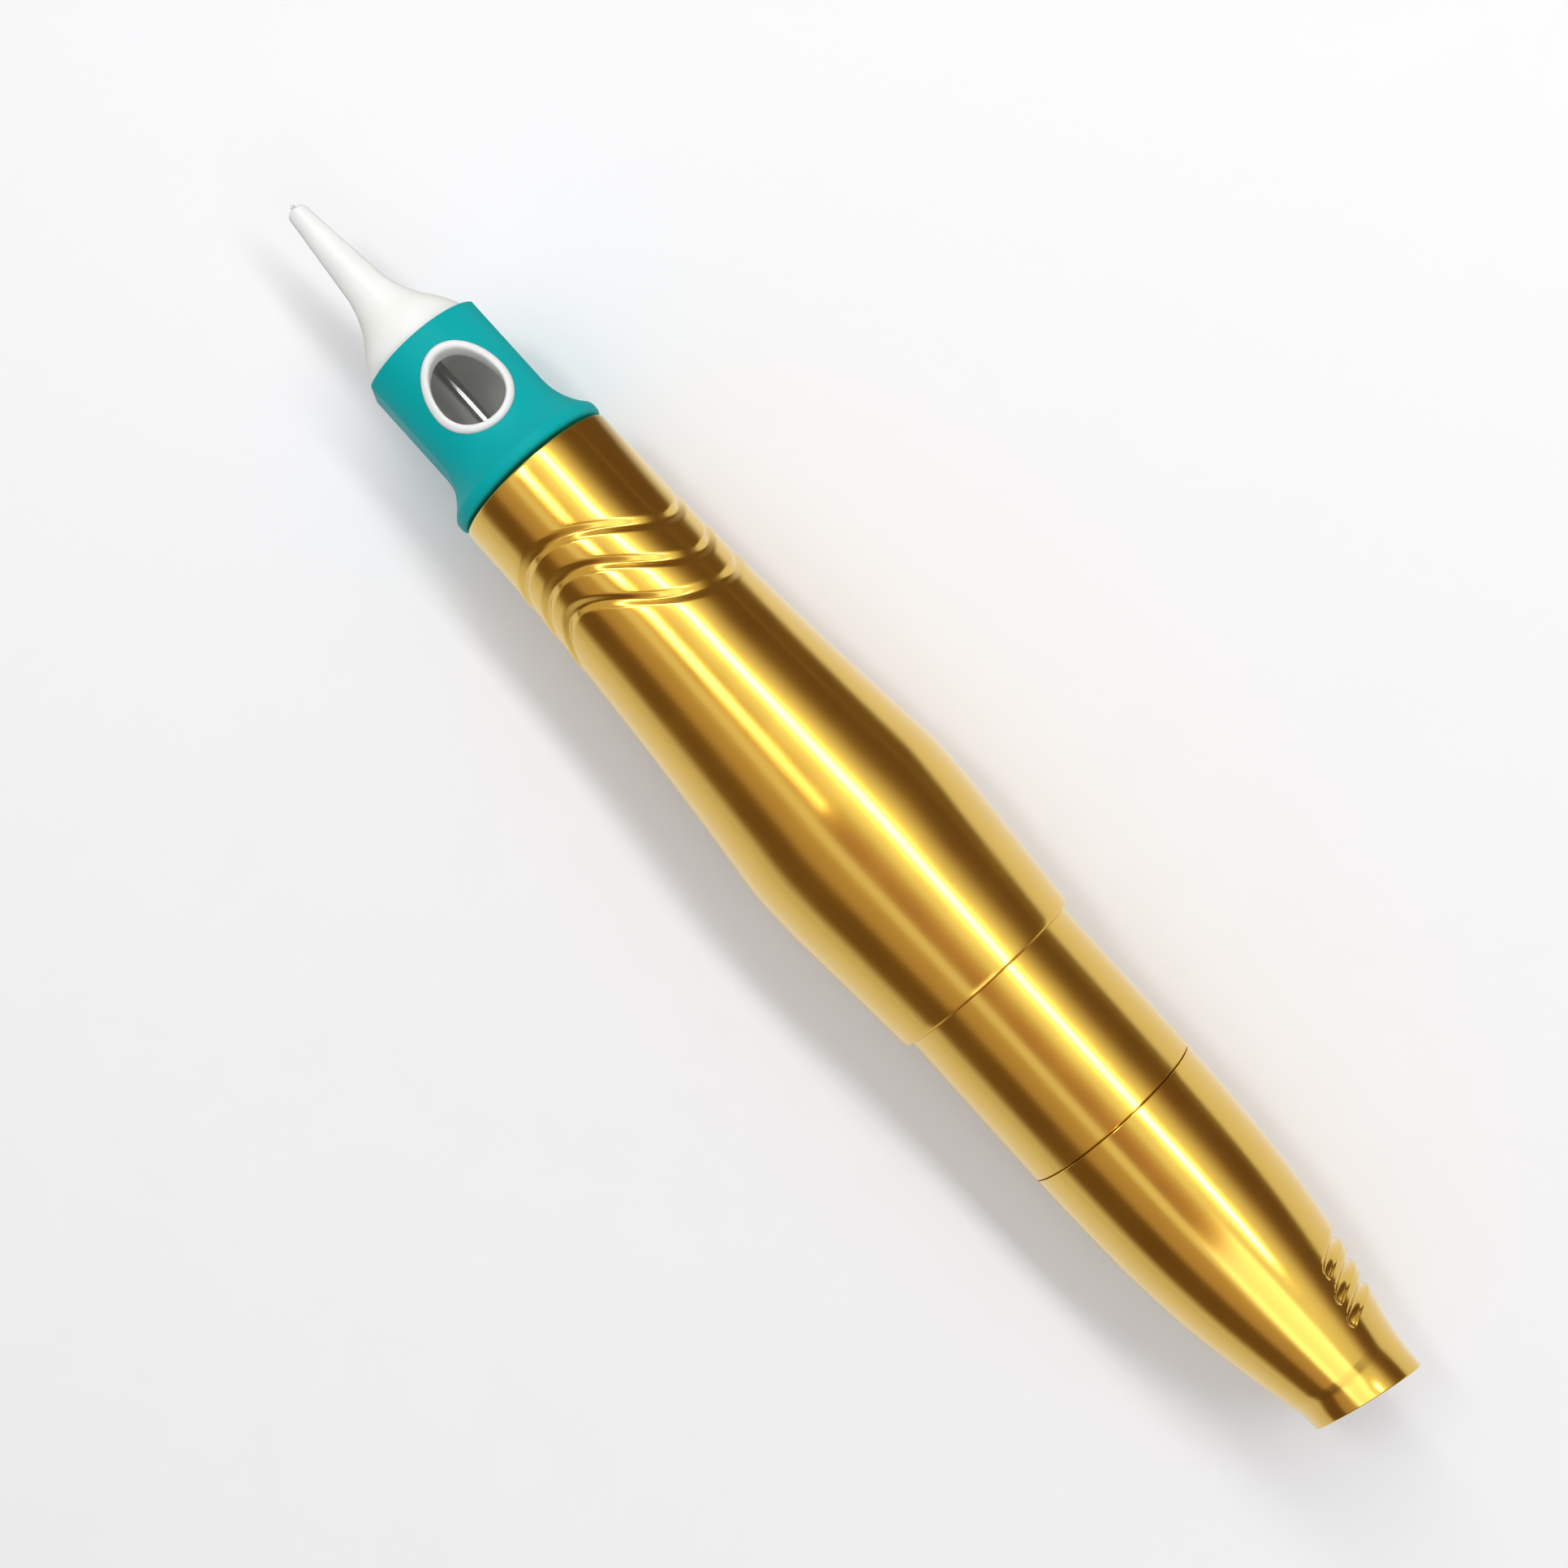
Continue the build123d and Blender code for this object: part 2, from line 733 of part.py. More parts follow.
def cam_drum():
    """The drum whose oblique groove turns one turn of the motor into one stroke."""
    drum = rod(cam_radius, cam_front, cam_rear)
    tilt = asin(stroke_half / cam_radius) * 180 / pi
    half_width = cam_groove_width / 2
    cutter = tube(cam_radius + 2 * overrun, cam_radius - cam_groove_depth, -half_width, half_width)
    cutter = Pos(cam_groove_station, 0, 0) * at_turn(cam_turn, Rot(0, -tilt, 0) * cutter)
    drum -= cutter
    drum -= rod(shaft_radius + seat_clearance, cam_front - overrun, cam_rear + overrun)
    hole = spoke(cam_screw_radius + seat_clearance, 0, cam_radius + overrun, cam_front + cam_screw_setback)
    return drum - hole


def cam_screw():
    """The grub screw that holds the drum on the shaft, with a hexagon socket."""
    station = cam_front + cam_screw_setback
    outer = cam_radius - slide_clearance
    screw = spoke(cam_screw_radius, shaft_radius + seat_clearance, outer, station)
    socket_radius_here = cam_screw_radius * hex_recess_share
    socket = extrude(RegularPolygon(socket_radius_here, 6), cam_screw_radius)
    return screw - Pos(station, 0, outer - cam_screw_radius) * socket


def motor_shaft():
    """The motor's shaft, from the cam drum to the rear bearing."""
    return rod(shaft_radius, cam_front, motor_rear - face_gap)


def motor_can():
    """The motor's steel can, with a boss round its front bearing."""
    rear = motor_rear - end_cap_length
    body = rod(motor_radius, motor_front, rear)
    body += rod(boss_radius, motor_front - boss_length, motor_front)
    body -= rod(motor_radius - can_wall, motor_front + can_front_wall, rear + overrun)
    body -= rod(bearing_radius + seat_clearance, motor_front - boss_length - overrun, rear)
    hole = rod(screw_radius + seat_clearance, motor_front - overrun, motor_front + can_front_wall)
    for turn in (90, 270):
        body -= at_turn(turn, Pos(0, 0, screw_spread) * hole)
    return body


def motor_magnet():
    """The fixed magnet on the bearing tube, inside the turning coil."""
    front = motor_front + can_front_wall
    inner = bearing_radius + seat_clearance
    return tube(magnet_radius, inner, front, front + magnet_length)


def motor_bearings():
    """The long front bearing tube that carries the magnet, and the rear bearing."""
    front_start = motor_front - boss_length
    front_end = motor_front + can_front_wall + magnet_length
    bore = shaft_radius + slide_clearance / 2
    front = tube(bearing_radius, bore, front_start, front_end)
    rear = tube(bearing_radius, bore, motor_rear - end_cap_length, motor_rear)
    return Compound(children=[front, rear])


def motor_coil():
    """The self-supporting cup coil that turns round the magnet."""
    front = motor_front + can_front_wall + coil_standoff
    rear = front + coil_length
    body = tube(coil_radius + coil_wall, coil_radius, front, rear)
    hub = tube(coil_radius + coil_wall, shaft_radius + seat_clearance, rear, rear + hub_thickness)
    return body + hub


def commutator():
    """The small commutator behind the coil's hub, slotted in three."""
    front = motor_front + can_front_wall + coil_standoff + coil_length + hub_thickness
    rear = front + commutator_length
    body = tube(commutator_radius, shaft_radius + seat_clearance, front, rear)
    length = commutator_length / 2
    slot = Box(length, brush_thickness, commutator_radius)
    for turn in (0, 120, 240):
        body -= at_turn(turn, Pos(rear - length / 2, 0, commutator_radius) * slot)
    return body


def motor_brushes():
    """Two leaf brushes that stand on the end cap either side of the commutator."""
    cap_front = motor_rear - end_cap_length
    height = commutator_radius + slide_clearance + brush_thickness / 2
    leaf = Box(brush_length, brush_width, brush_thickness)
    leaf = Pos(cap_front - brush_length / 2, 0, height) * leaf
    return Compound(children=[leaf, at_turn(180, leaf)])


def motor_end_cap():
    """The plastic cap that closes the can and carries the rear bearing."""
    front = motor_rear - end_cap_length
    return tube(motor_radius, bearing_radius + seat_clearance, front, motor_rear)


def motor_terminals():
    """Two solder tabs on the motor's end cap."""
    tab = Box(terminal_length, terminal_width, terminal_thickness)
    tab = Pos(motor_rear + terminal_length / 2, 0, terminal_spread) * tab
    return Compound(children=[at_turn(90, tab), at_turn(270, tab)])


def motor_mount():
    """The cup that centres the motor in the barrel, screwed to the motor's face."""
    rear = motor_front + mount_grip_share * (tail_joint_front - motor_front)
    body = rod(mount_radius, mount_front, rear)
    body -= rod(motor_radius + seat_clearance, motor_front, rear + overrun)
    body -= rod(boss_radius + seat_clearance, mount_front - overrun, motor_front + overrun)
    hole = rod(screw_radius + seat_clearance, mount_front - overrun, motor_front + overrun)
    for turn in (90, 270):
        body -= at_turn(turn, Pos(0, 0, screw_spread) * hole)
    return body


def mount_screws():
    """Two socket screws through the mount's plate into the motor's face."""
    head = rod(screw_head_radius, mount_front - screw_head_height, mount_front)
    depth = screw_head_height * hex_recess_share
    hexagon = RegularPolygon(screw_head_radius * hex_recess_share, 6)
    recess = Rot(0, 90, 0) * extrude(hexagon, depth)
    head -= Pos(mount_front - screw_head_height, 0, 0) * recess
    shank = rod(screw_radius, mount_front, motor_front + can_front_wall - face_gap)
    screw = Pos(0, 0, screw_spread) * (head + shank)
    return Compound(children=[at_turn(90, screw), at_turn(270, screw)])


def tail_outline():
    """The tail's outer curve: a round fall, an eased return, and a straight end."""
    start = Vector(tail_front, tail_front_radius)
    end = Vector(tail_end, tail_end_radius)
    fall = TangentArc(start, start + (end - start) * tail_ogee_share, tangent=(1, 0))
    ease = TangentArc(fall @ 1, end, tangent=fall % 1)
    return [fall, ease, Line(end, (overall_length + overrun, tail_end_radius))]


def scoop(outline, station, half_turn):
    """A round-ended scoop across the tail's +Y side, whose ends sweep to the rear."""

    def place(share):
        turn = radians(scoop_turn + share * half_turn)
        swept = station + (scoop_lift if abs(share) > scoop_level_share else 0)
        radius = radius_on(outline, swept) + scoop_radius - scoop_depth
        return Vector(swept, radius * sin(turn), radius * cos(turn))

    level = ThreePointArc(place(-scoop_level_share), place(0), place(scoop_level_share))
    upper = TangentArc(level @ 0, place(-1), tangent=-(level % 0))
    lower = TangentArc(level @ 1, place(1), tangent=level % 1)
    body = Part()
    for path in (upper, level, lower):
        body += sweep(Plane(origin=path @ 0, z_dir=path % 0) * Circle(scoop_radius), path)
    for end in (upper @ 1, lower @ 1):
        body += Pos(end.X, end.Y, end.Z) * Sphere(scoop_radius)
    return body


def tail_cap():
    """The tail: joint spigot, turned shell with scoops, web for the jack, and oblique end."""
    outline = tail_outline()
    rear = outline[-1] @ 1
    cavity_rear = tail_front + tail_cavity_share * tail_length
    closing = Polyline(
        (rear.X, rear.Y),
        (rear.X, recess_radius),
        (recess_floor, recess_radius),
        (recess_floor, jack_neck_radius + seat_clearance),
        (jack_web_front, jack_neck_radius + seat_clearance),
        (jack_web_front, jack_cavity_radius),
        (cavity_rear, jack_cavity_radius),
        (cavity_rear, tail_cavity_radius),
        (tail_joint_front, tail_cavity_radius),
        (tail_joint_front, tail_joint_radius),
        (tail_front, tail_joint_radius),
        (tail_front, tail_front_radius),
    )
    cap = turned(*outline, closing)
    cap = chamfer(edges_at(cap, tail_front, tail_front_radius), barrel_edge_chamfer)
    for number, half_turn in enumerate(scoop_half_turns):
        station = tail_front + scoop_setback + number * scoop_pitch
        cap -= scoop(outline, station, half_turn)
    block_size = 2 * tail_front_radius
    block = Pos(block_size / 2, 0, 0) * Box(block_size, block_size, block_size)
    end_cut = at_turn(tail_end_turn, Rot(0, tail_end_tilt, 0) * block)
    return cap - Pos(tail_end, 0, 0) * end_cut


def jack_socket():
    """The nickelled sleeve that takes the power plug, with a flange and a threaded neck."""
    body = rod(jack_neck_radius, jack_web_front, jack_mouth)
    body = chamfer(edges_at(body, jack_mouth, jack_neck_radius), edge_chamfer)
    body += rod(jack_flange_radius, jack_flange_front, jack_web_front)
    body += rod(jack_bore_radius + jack_tube_wall, jack_tube_front, jack_flange_front)
    return body - rod(jack_bore_radius, jack_tube_front - overrun, jack_mouth + overrun)


def jack_insulator():
    """The plastic cup round the sleeve's front, with a blind bore for the plug's tip."""
    tube_radius = jack_bore_radius + jack_tube_wall
    body = rod(jack_flange_radius, insulator_front, jack_flange_front)
    body -= rod(tube_radius + seat_clearance, jack_tube_front, jack_flange_front + overrun)
    body -= rod(jack_bore_radius, jack_tube_front - insulator_tip_depth, jack_tube_front + overrun)
    return body - rod(contact_radius + seat_clearance, insulator_front - overrun, jack_tube_front)


def jack_contacts():
    """The tip contact on the axis, and the sleeve's strip along the insulator."""
    tip_rear = jack_tube_front - insulator_tip_depth
    tip = rod(contact_radius, contact_front, tip_rear)
    length = jack_flange_front - contact_front
    strip = Box(length, contact_strip_width, contact_strip_thickness)
    height = jack_flange_radius + contact_strip_thickness / 2
    strip = Pos(contact_front + length / 2, 0, height) * strip
    foot_length = contact_reach / 2
    foot = Box(foot_length, contact_strip_width, contact_foot_height)
    foot_middle = height - contact_foot_height / 2
    strip += Pos(contact_front + foot_length / 2, 0, foot_middle) * foot
    return Compound(children=[tip, at_turn(270, strip)])


def jack_nut():
    """The slotted ring nut that clamps the jack to the tail's web."""
    rear = recess_floor + nut_thickness
    nut = tube(nut_radius, jack_neck_radius + seat_clearance, recess_floor, rear)
    slot = Box(nut_slot_depth, 2 * nut_radius, nut_slot_width)
    return nut - Pos(rear - nut_slot_depth / 2, 0, 0) * slot


def lead(start, end, side):
    """A wire from a motor tab to a jack contact, in straight runs joined by tangent arcs."""
    points = []
    for along, across, sway, rise in lead_route_shares:
        x = start[0] + along * (end[0] - start[0])
        y = start[1] + across * (end[1] - start[1]) + side * sway * lead_sway
        z = start[2] + across * (end[2] - start[2]) + rise * lead_sway
        points.append(Vector(x, y, z))
    radii = []
    for before, corner, after in zip(points, points[1:], points[2:]):
        turn = radians((corner - before).get_angle(after - corner))
        shorter = min((corner - before).length, (after - corner).length)
        radii.append(lead_run_share * shorter / tan(turn / 2))
    path = FilletPolyline(*points, radius=radii)
    start_plane = Plane(origin=path @ 0, z_dir=path % 0)
    wire = sweep(start_plane * Circle(lead_radius), path)
    expected = pi * lead_radius**2 * path.length
    print("lead radii", [round(r, 1) for r in radii], "volume share", round(wire.volume / expected, 4))
    return wire


def lead_ends(side):
    """Where one lead leaves its motor tab and where it meets its jack contact."""
    start = (motor_rear + terminal_length, side * terminal_spread, 0)
    tip_end = (contact_front, 0, 0)
    strip_height = jack_flange_radius + (contact_strip_thickness - contact_foot_height) / 2
    strip_end = (contact_front, -strip_height, 0)
    return start, tip_end if side > 0 else strip_end


def lead_red():
    """The lead to the jack's tip contact."""
    return lead(*lead_ends(1), 1)


def lead_black():
    """The lead to the jack's sleeve strip."""
    return lead(*lead_ends(-1), -1)


def placed(shape, roll=0):
    """Move a piece from the pen's axis to where the pen lies, rolled about the axis first."""
    return Pos(-overall_length / 2, 0, belly_radius) * at_turn(roll, shape)


rolled_pieces = (
    cartridge_housing,
    cartridge_sleeve,
    cartridge_plug,
    cartridge_membrane,
    needle_points,
    needle_bar,
    needle_plunger,
    key_socket,
)
level_pieces = (
    socket_seal,
    seat_ring,
    grip_shell,
    friction_ring,
    motor_barrel,
    push_rod_bush,
    rod_seal,
    push_rod,
    drive_carriage,
    follower_pin,
    guide_pin,
    cam_drum,
    cam_screw,
    motor_shaft,
    motor_can,
    motor_magnet,
    motor_bearings,
    motor_coil,
    commutator,
    motor_brushes,
    motor_end_cap,
    motor_terminals,
    motor_mount,
    mount_screws,
    tail_cap,
    jack_socket,
    jack_insulator,
    jack_contacts,
    jack_nut,
    lead_red,
    lead_black,
)

os.makedirs("parts", exist_ok=True)
for piece in rolled_pieces:
    export_step(placed(piece(), cartridge_roll), f"parts/{piece.__name__}.step")
for piece in level_pieces:
    export_step(placed(piece()), f"parts/{piece.__name__}.step")
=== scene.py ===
"""Looks of a gold rotary tattoo pen with its needle cartridge, laid out as an add-on.

The pen lies along X on a pale table, the needle at -X and the oblique tail at +X, the window of the cartridge up.
A station runs along the pen's axis from the needle points, and a turn runs round it from the top, +Z, towards +Y.
"""

import math
from functools import partial
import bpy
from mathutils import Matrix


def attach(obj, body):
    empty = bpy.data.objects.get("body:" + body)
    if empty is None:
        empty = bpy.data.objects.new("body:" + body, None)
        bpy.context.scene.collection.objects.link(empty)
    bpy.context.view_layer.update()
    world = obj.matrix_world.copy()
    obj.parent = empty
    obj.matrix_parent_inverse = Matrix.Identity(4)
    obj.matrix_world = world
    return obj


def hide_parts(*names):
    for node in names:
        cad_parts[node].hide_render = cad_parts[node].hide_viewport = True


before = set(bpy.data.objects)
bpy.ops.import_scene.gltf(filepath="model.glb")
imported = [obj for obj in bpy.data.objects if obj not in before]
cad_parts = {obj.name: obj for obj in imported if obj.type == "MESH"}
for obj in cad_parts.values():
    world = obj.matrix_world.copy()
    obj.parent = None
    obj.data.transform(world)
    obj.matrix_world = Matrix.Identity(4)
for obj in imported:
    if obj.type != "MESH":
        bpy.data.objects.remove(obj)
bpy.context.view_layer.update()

from types import SimpleNamespace

import bmesh
import bpy
import numpy as np
from bpy.props import FloatProperty, FloatVectorProperty, IntProperty, PointerProperty, StringProperty
from mathutils import Matrix, Vector

bl_info = {
    "name": "Tattoo pen looks",
    "version": (1, 2, 0),
    "blender": (4, 5, 0),
    "location": "View3D > Sidebar > Tattoo pen",
    "description": "Skins, finishes and studio of a gold tattoo pen",
    "category": "Object",
}

MM = 0.001
WELD_DISTANCE = 0.001 * MM
SHARP_ANGLE = math.radians(35)
# Over how many millimetres two surfaces blend where they cross
EDGE_SOFTNESS = 0.04
# How softly a groove's walls turn over at its mouth and its bottom, as a share of its half width
VALLEY_SOFTNESS = 0.15

# Each wave groove: its mean station in millimetres, then how far it swings with the cosine and sine of twice the turn
# and of four times the turn
WAVES = (
    (41.32, -1.12, 2.30, -0.13, -0.11),
    (44.88, -1.11, 2.86, -0.14, 0.01),
    (48.32, -0.88, 3.14, 0.30, 0.17),
)
# How far the rows of a groove reach, in half widths, until its rounded edges have run out
GROOVE_REACH = 1.3
# Rows of the grip: its front, each groove and the run to the next, the waves' run-out, and the rest
GRIP_STEPS = (12, 24, 3, 24, 3, 24, 16, 56)
# Where the grip's crest and the ends of its crown lie, as shares of its length and of its rise
CREST_SHARES = {"front": (0.66, 0.94), "top": (0.71, 1.0), "rear": (0.79, 0.942)}
# Half the turn that each scoop of the tail takes, and the turn of their middles, in degrees
SCOOP_HALF_TURNS = (45.0, 50.0, 53.0)
SCOOP_TURN = 90.0
# How far the rows of a scoop reach, in radii of its ball, and how long the rows in front take to bend, in lifts
SCOOP_REACH = 1.04
SCOOP_LEAD = 6
# The sweep of a scoop's ends, by the turn's share of half the scoop's turn: where it starts, the most that it rises
# to, and how steeply it fades towards share 2
SWEEP_START = 0.5
SWEEP_LIMIT = 1.15
SWEEP_FADE = 1.3
# Rows of the tail: its front, the lead to the scoops, each scoop and the run to the next, the rest, and the end
TAIL_STEPS = (26, 12, 18, 3, 18, 3, 18, 10)
END_STEPS = 5
# How far past its end the tail's outline runs on, in millimetres, for the end's slant
OUTLINE_OVERRUN = 10.0
# The nose: where its taper ends, as shares of its length and base radius, and where its flare eases
NOSE_TAPER_SHARES = (0.51, 0.327)
NOSE_FLARE_SHARES = (0.6, 0.52)

# Rows and points of the cartridge's skins
SLEEVE_STEPS = {"ahead": 5, "flare": 24, "brow": 10}
NOSE_STEPS = {"taper": 16, "flare": 28, "base": 24, "bore": 4, "ahead": 6, "behind": 12}
RIM_POINTS = 15
# The least |sin turn| that the sleeve's flats reckon with, so that they leave its top and bottom alone
LEAST_SINE = 0.2
# In millimetres: from the window's rear to the next row, from the chamber's front to its first row, and how far
# outside the chamber's wall the rim's foot stands
WINDOW_GAP = 0.05
CHAMBER_GAP = 0.2
RIM_GAP = 0.02


# Small helpers


def hex_colour(code):
    """An sRGB hex colour as linear red, green, blue and full alpha."""
    parts = [int(code[i : i + 2], 16) / 255 for i in (1, 3, 5)]
    linear = [c / 12.92 if c <= 0.04045 else ((c + 0.055) / 1.055) ** 2.4 for c in parts]
    return (*linear, 1.0)


def join(node, **links):
    """Joins inputs of a node, by socket name, to outputs or to the first outputs of nodes.

    A tuple goes to the inputs that share one name, in order.
    """
    for name, outputs in links.items():
        sockets = [s for s in node.inputs if s.name.lower() == name.replace("_", " ")]
        for socket, output in zip(sockets, outputs if isinstance(outputs, tuple) else (outputs,)):
            source = output.outputs[0] if isinstance(output, bpy.types.Node) else output
            node.id_data.links.new(source, socket)


def add_node(owner, kind, settings=None, **links):
    """Adds a shader node of a kind to a material or world. settings holds attributes and, by name, input values."""
    node = owner.node_tree.nodes.new("ShaderNode" + kind)
    for name, value in (settings or {}).items():
        if name in node.inputs.keys():
            node.inputs[name].default_value = value
        else:
            setattr(node, name, value)
    join(node, **links)
    return node


def empty_nodes(owner):
    """Clears the nodes of a material or world, and gives the function that adds nodes to it."""
    owner.use_nodes = True
    owner.node_tree.nodes.clear()
    return partial(add_node, owner)


def new_object(name, data, place=(0, 0, 0), axes=((1, 0, 0), (0, 1, 0), (0, 0, 1))):
    """A new object in the scene at a place, with its X, Y and Z along three directions."""
    thing = bpy.data.objects.new(name, data)
    thing.matrix_world = Matrix.Translation(place) @ Matrix(axes).transposed().to_4x4()
    bpy.context.collection.objects.link(thing)
    return thing


def ramp_stops(node, stops):
    """Sets a colour ramp's stops from (place, colour) pairs."""
    elements = node.color_ramp.elements
    while len(elements) > len(stops):
        elements.remove(elements[-1])
    while len(elements) < len(stops):
        elements.new(1.0)
    for element, (place, colour) in zip(elements, stops):
        element.position = place
        element.color = colour


# Curves and surfaces


def arc_from(start, end, heading, count=160):
    """The circle that leaves start along heading and passes through end, and its heading at end.

    The angle between heading and chord is half the arc's turn t, so a point is
    start + R (sin t heading + (1 - cos t) side), with R = chord / (2 sin half turn).
    """
    start, end, heading = (np.asarray(v, float) for v in (start, end, heading))
    heading = heading / np.linalg.norm(heading)
    side = np.array([-heading[1], heading[0]])
    chord = end - start
    half_turn = math.atan2(chord @ side, chord @ heading)
    radius = np.linalg.norm(chord) / (2 * math.sin(half_turn))
    turn = np.linspace(0, 2 * half_turn, count)[:, None]
    points = start + radius * (np.sin(turn) * heading + (1 - np.cos(turn)) * side)
    return points, math.cos(2 * half_turn) * heading + math.sin(2 * half_turn) * side


def radius_at(outline, station):
    """The radius of an outline of (station, radius) points at each station."""
    return np.interp(station, outline[:, 0], outline[:, 1])


def spread(corners, steps):
    """Points along straight runs from corner to corner, with so many steps in each run."""
    corners = np.asarray(corners, float)
    runs = [np.linspace(a, b, n, endpoint=False) for a, b, n in zip(corners, corners[1:], steps)]
    return np.concatenate(runs + [corners[-1:]])


def mouth_marks(middles, half):
    """Both edges of each groove's mouth, in order."""
    return [middle + side for middle in middles for side in (-half, half)]


def rounded_edge(corner, towards_before, towards_after, count=6):
    """A quarter round in place of a corner.

    A point is corner + before (1 - sin a) + after (1 - cos a), with a from 0 to 90 degrees.
    """
    a = np.linspace(0, math.pi / 2, count)[:, None]
    corner, before, after = (np.asarray(v) for v in (corner, towards_before, towards_after))
    return corner + before * (1 - np.sin(a)) + after * (1 - np.cos(a))


def bell(offset):
    """A smooth bump, (1 + cos(pi offset)) / 2 where offset lies between -1 and 1, and 0 outside."""
    return (1 + np.cos(math.pi * np.clip(offset, -1, 1))) / 2


def smooth_valley(offset):
    """A rounded V: (a + sqrt(a^2 + s^2)) / 2 with a = 1 - sqrt(offset^2 + s^2) and s the softness."""
    slope = 1 - np.sqrt(offset**2 + VALLEY_SOFTNESS**2)
    return (slope + np.sqrt(slope**2 + VALLEY_SOFTNESS**2)) / 2


def stepped_bore(start, *runs):
    """Corners of a bore from the station where it starts: the radius of each run, and the station where it ends."""
    corners = []
    for radius, end in runs:
        corners += [(start, radius), (end, radius)]
        start = end
    return np.array(corners)


def full_turn(count):
    """So many turns in one row, all round the pen."""
    return np.linspace(0, 2 * math.pi, count, endpoint=False)[None, :]


def grid_faces(rows, columns):
    """Quads of a grid that closes both ways."""
    row, column = np.arange(rows)[:, None], np.arange(columns)[None, :]
    after_row, after_column = (row + 1) % rows, (column + 1) % columns
    corners = [row * columns + column, after_row * columns + column]
    corners += [after_row * columns + after_column, row * columns + after_column]
    return np.stack([c.ravel() for c in corners], axis=1)


def pen_points(sizes, station, radius, turn):
    """Points in metres from stations, radii and turns in millimetres and radians.

    x = station - length / 2, y = radius sin turn, z = axis height + radius cos turn.
    """
    x = station - sizes.overall_length / 2
    points = np.stack(np.broadcast_arrays(x, radius * np.sin(turn), radius * np.cos(turn)), axis=-1) * MM
    return points.reshape(-1, 3) + (0, 0, sizes.axis_height * MM)


def new_piece(name, points, faces, body, node, slot):
    """A smooth shaded piece that rides on a body and stands for a node of the frame.

    The faces turn round where the volume that they close, the sum of a . (b x c) / 6, is below zero.
    """
    a, b, c, d = (points[faces[:, n]] for n in range(4))
    volume = np.sum(a * np.cross(b, c)) + np.sum(a * np.cross(c, d))
    mesh = bpy.data.meshes.new(name)
    mesh.from_pydata(points, [], faces if volume > 0 else faces[:, ::-1])
    piece = new_object(name, mesh)
    weld(piece)
    mesh.shade_smooth()
    mesh.set_sharp_from_angle(angle=SHARP_ANGLE)
    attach(piece, body)
    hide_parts(node)


def weld(piece):
    """Joins points that lie together, where a section closes outside the window."""
    shell = bmesh.new()
    shell.from_mesh(piece.data)
    bmesh.ops.remove_doubles(shell, verts=shell.verts, dist=WELD_DISTANCE)
    bmesh.ops.dissolve_degenerate(shell, edges=shell.edges, dist=WELD_DISTANCE)
    shell.to_mesh(piece.data)
    shell.free()


# Skins


def grip_outline(sizes):
    """The grip's outer curve: a hollow taper, a swelling belly of two arcs, and a straight fall to the rear."""
    front, length = sizes.grip_front, sizes.grip_length
    low, high = sizes.grip_front_radius, sizes.belly_radius

    def place(along, up):
        return (front + along * length, low + up * (high - low))

    top = place(*CREST_SHARES["top"])
    crown_front, heading = arc_from(top, place(*CREST_SHARES["front"]), (-1, 0))
    taper, _ = arc_from(crown_front[-1], place(0, 0), heading)
    crown_rear, slope = arc_from(top, place(*CREST_SHARES["rear"]), (1, 0))
    rear = front + length + sizes.seam_cover
    fall = crown_rear[-1] + slope * ((rear - crown_rear[-1, 0]) / slope[0])
    outline = np.vstack([taper[::-1], crown_front[::-1][1:], crown_rear[1:], fall])
    flare = sizes.grip_flare * bell((outline[:, 0] - front) / sizes.grip_flare_length)
    return outline + flare[:, None] * (0, 1)


def grip_skin(sizes):
    """The grip with its three wave grooves, and its stepped bore.

    On the outside, station = row + a cos 2t + b sin 2t + c cos 4t + d sin 4t with t the turn, and
    radius = outline(station) - depth valley(distance from the nearest groove's row / half width). The four swings are
    those of WAVES at the grooves, and they grow from nothing at the front edge and die out behind the grooves.
    """
    outline = grip_outline(sizes)
    front, rear = outline[0, 0], outline[-1, 0]
    half, depth = sizes.groove_half_width, sizes.groove_depth
    edge, rear_edge = sizes.edge_round, sizes.rear_edge_round
    middles = [wave[0] for wave in WAVES]
    reach = GROOVE_REACH * half
    mouths = mouth_marks(middles, reach)
    quiet = middles[-1] + sizes.groove_run_out

    rows = spread([front + edge, *mouths, quiet, rear - rear_edge], GRIP_STEPS)
    turn = full_turn(sizes.columns)
    still = np.zeros(4)
    swings = np.array([still] + [wave[1:] for wave in WAVES for _ in (0, 1)] + [still])
    levels = [np.interp(rows, [front + edge, *mouths, quiet], swing)[:, None] for swing in swings.T]
    waves = (np.cos(2 * turn), np.sin(2 * turn), np.cos(4 * turn), np.sin(4 * turn))
    station = rows[:, None] + sum(level * wave for level, wave in zip(levels, waves))
    away = np.min(np.abs(rows[:, None] - np.array(middles)), axis=1)[:, None]
    radius = radius_at(outline, station) - depth * smooth_valley(away / half)

    back_edge = rounded_edge(outline[-1], (-rear_edge, 0), (0, -rear_edge))[1:]
    bore, ring, ring_half = sizes.grip_rear_bore, sizes.friction_groove_station, sizes.friction_groove_half_width
    inside = stepped_bore(
        rear,
        (bore, ring + ring_half),
        (sizes.friction_groove_radius, ring - ring_half),
        (bore, sizes.land_rear),
        (sizes.land_radius, sizes.land_front),
        (sizes.grip_front_bore, front),
    )
    return closed_skin(sizes, outline, edge, (station, radius), np.vstack([back_edge, inside]), turn)


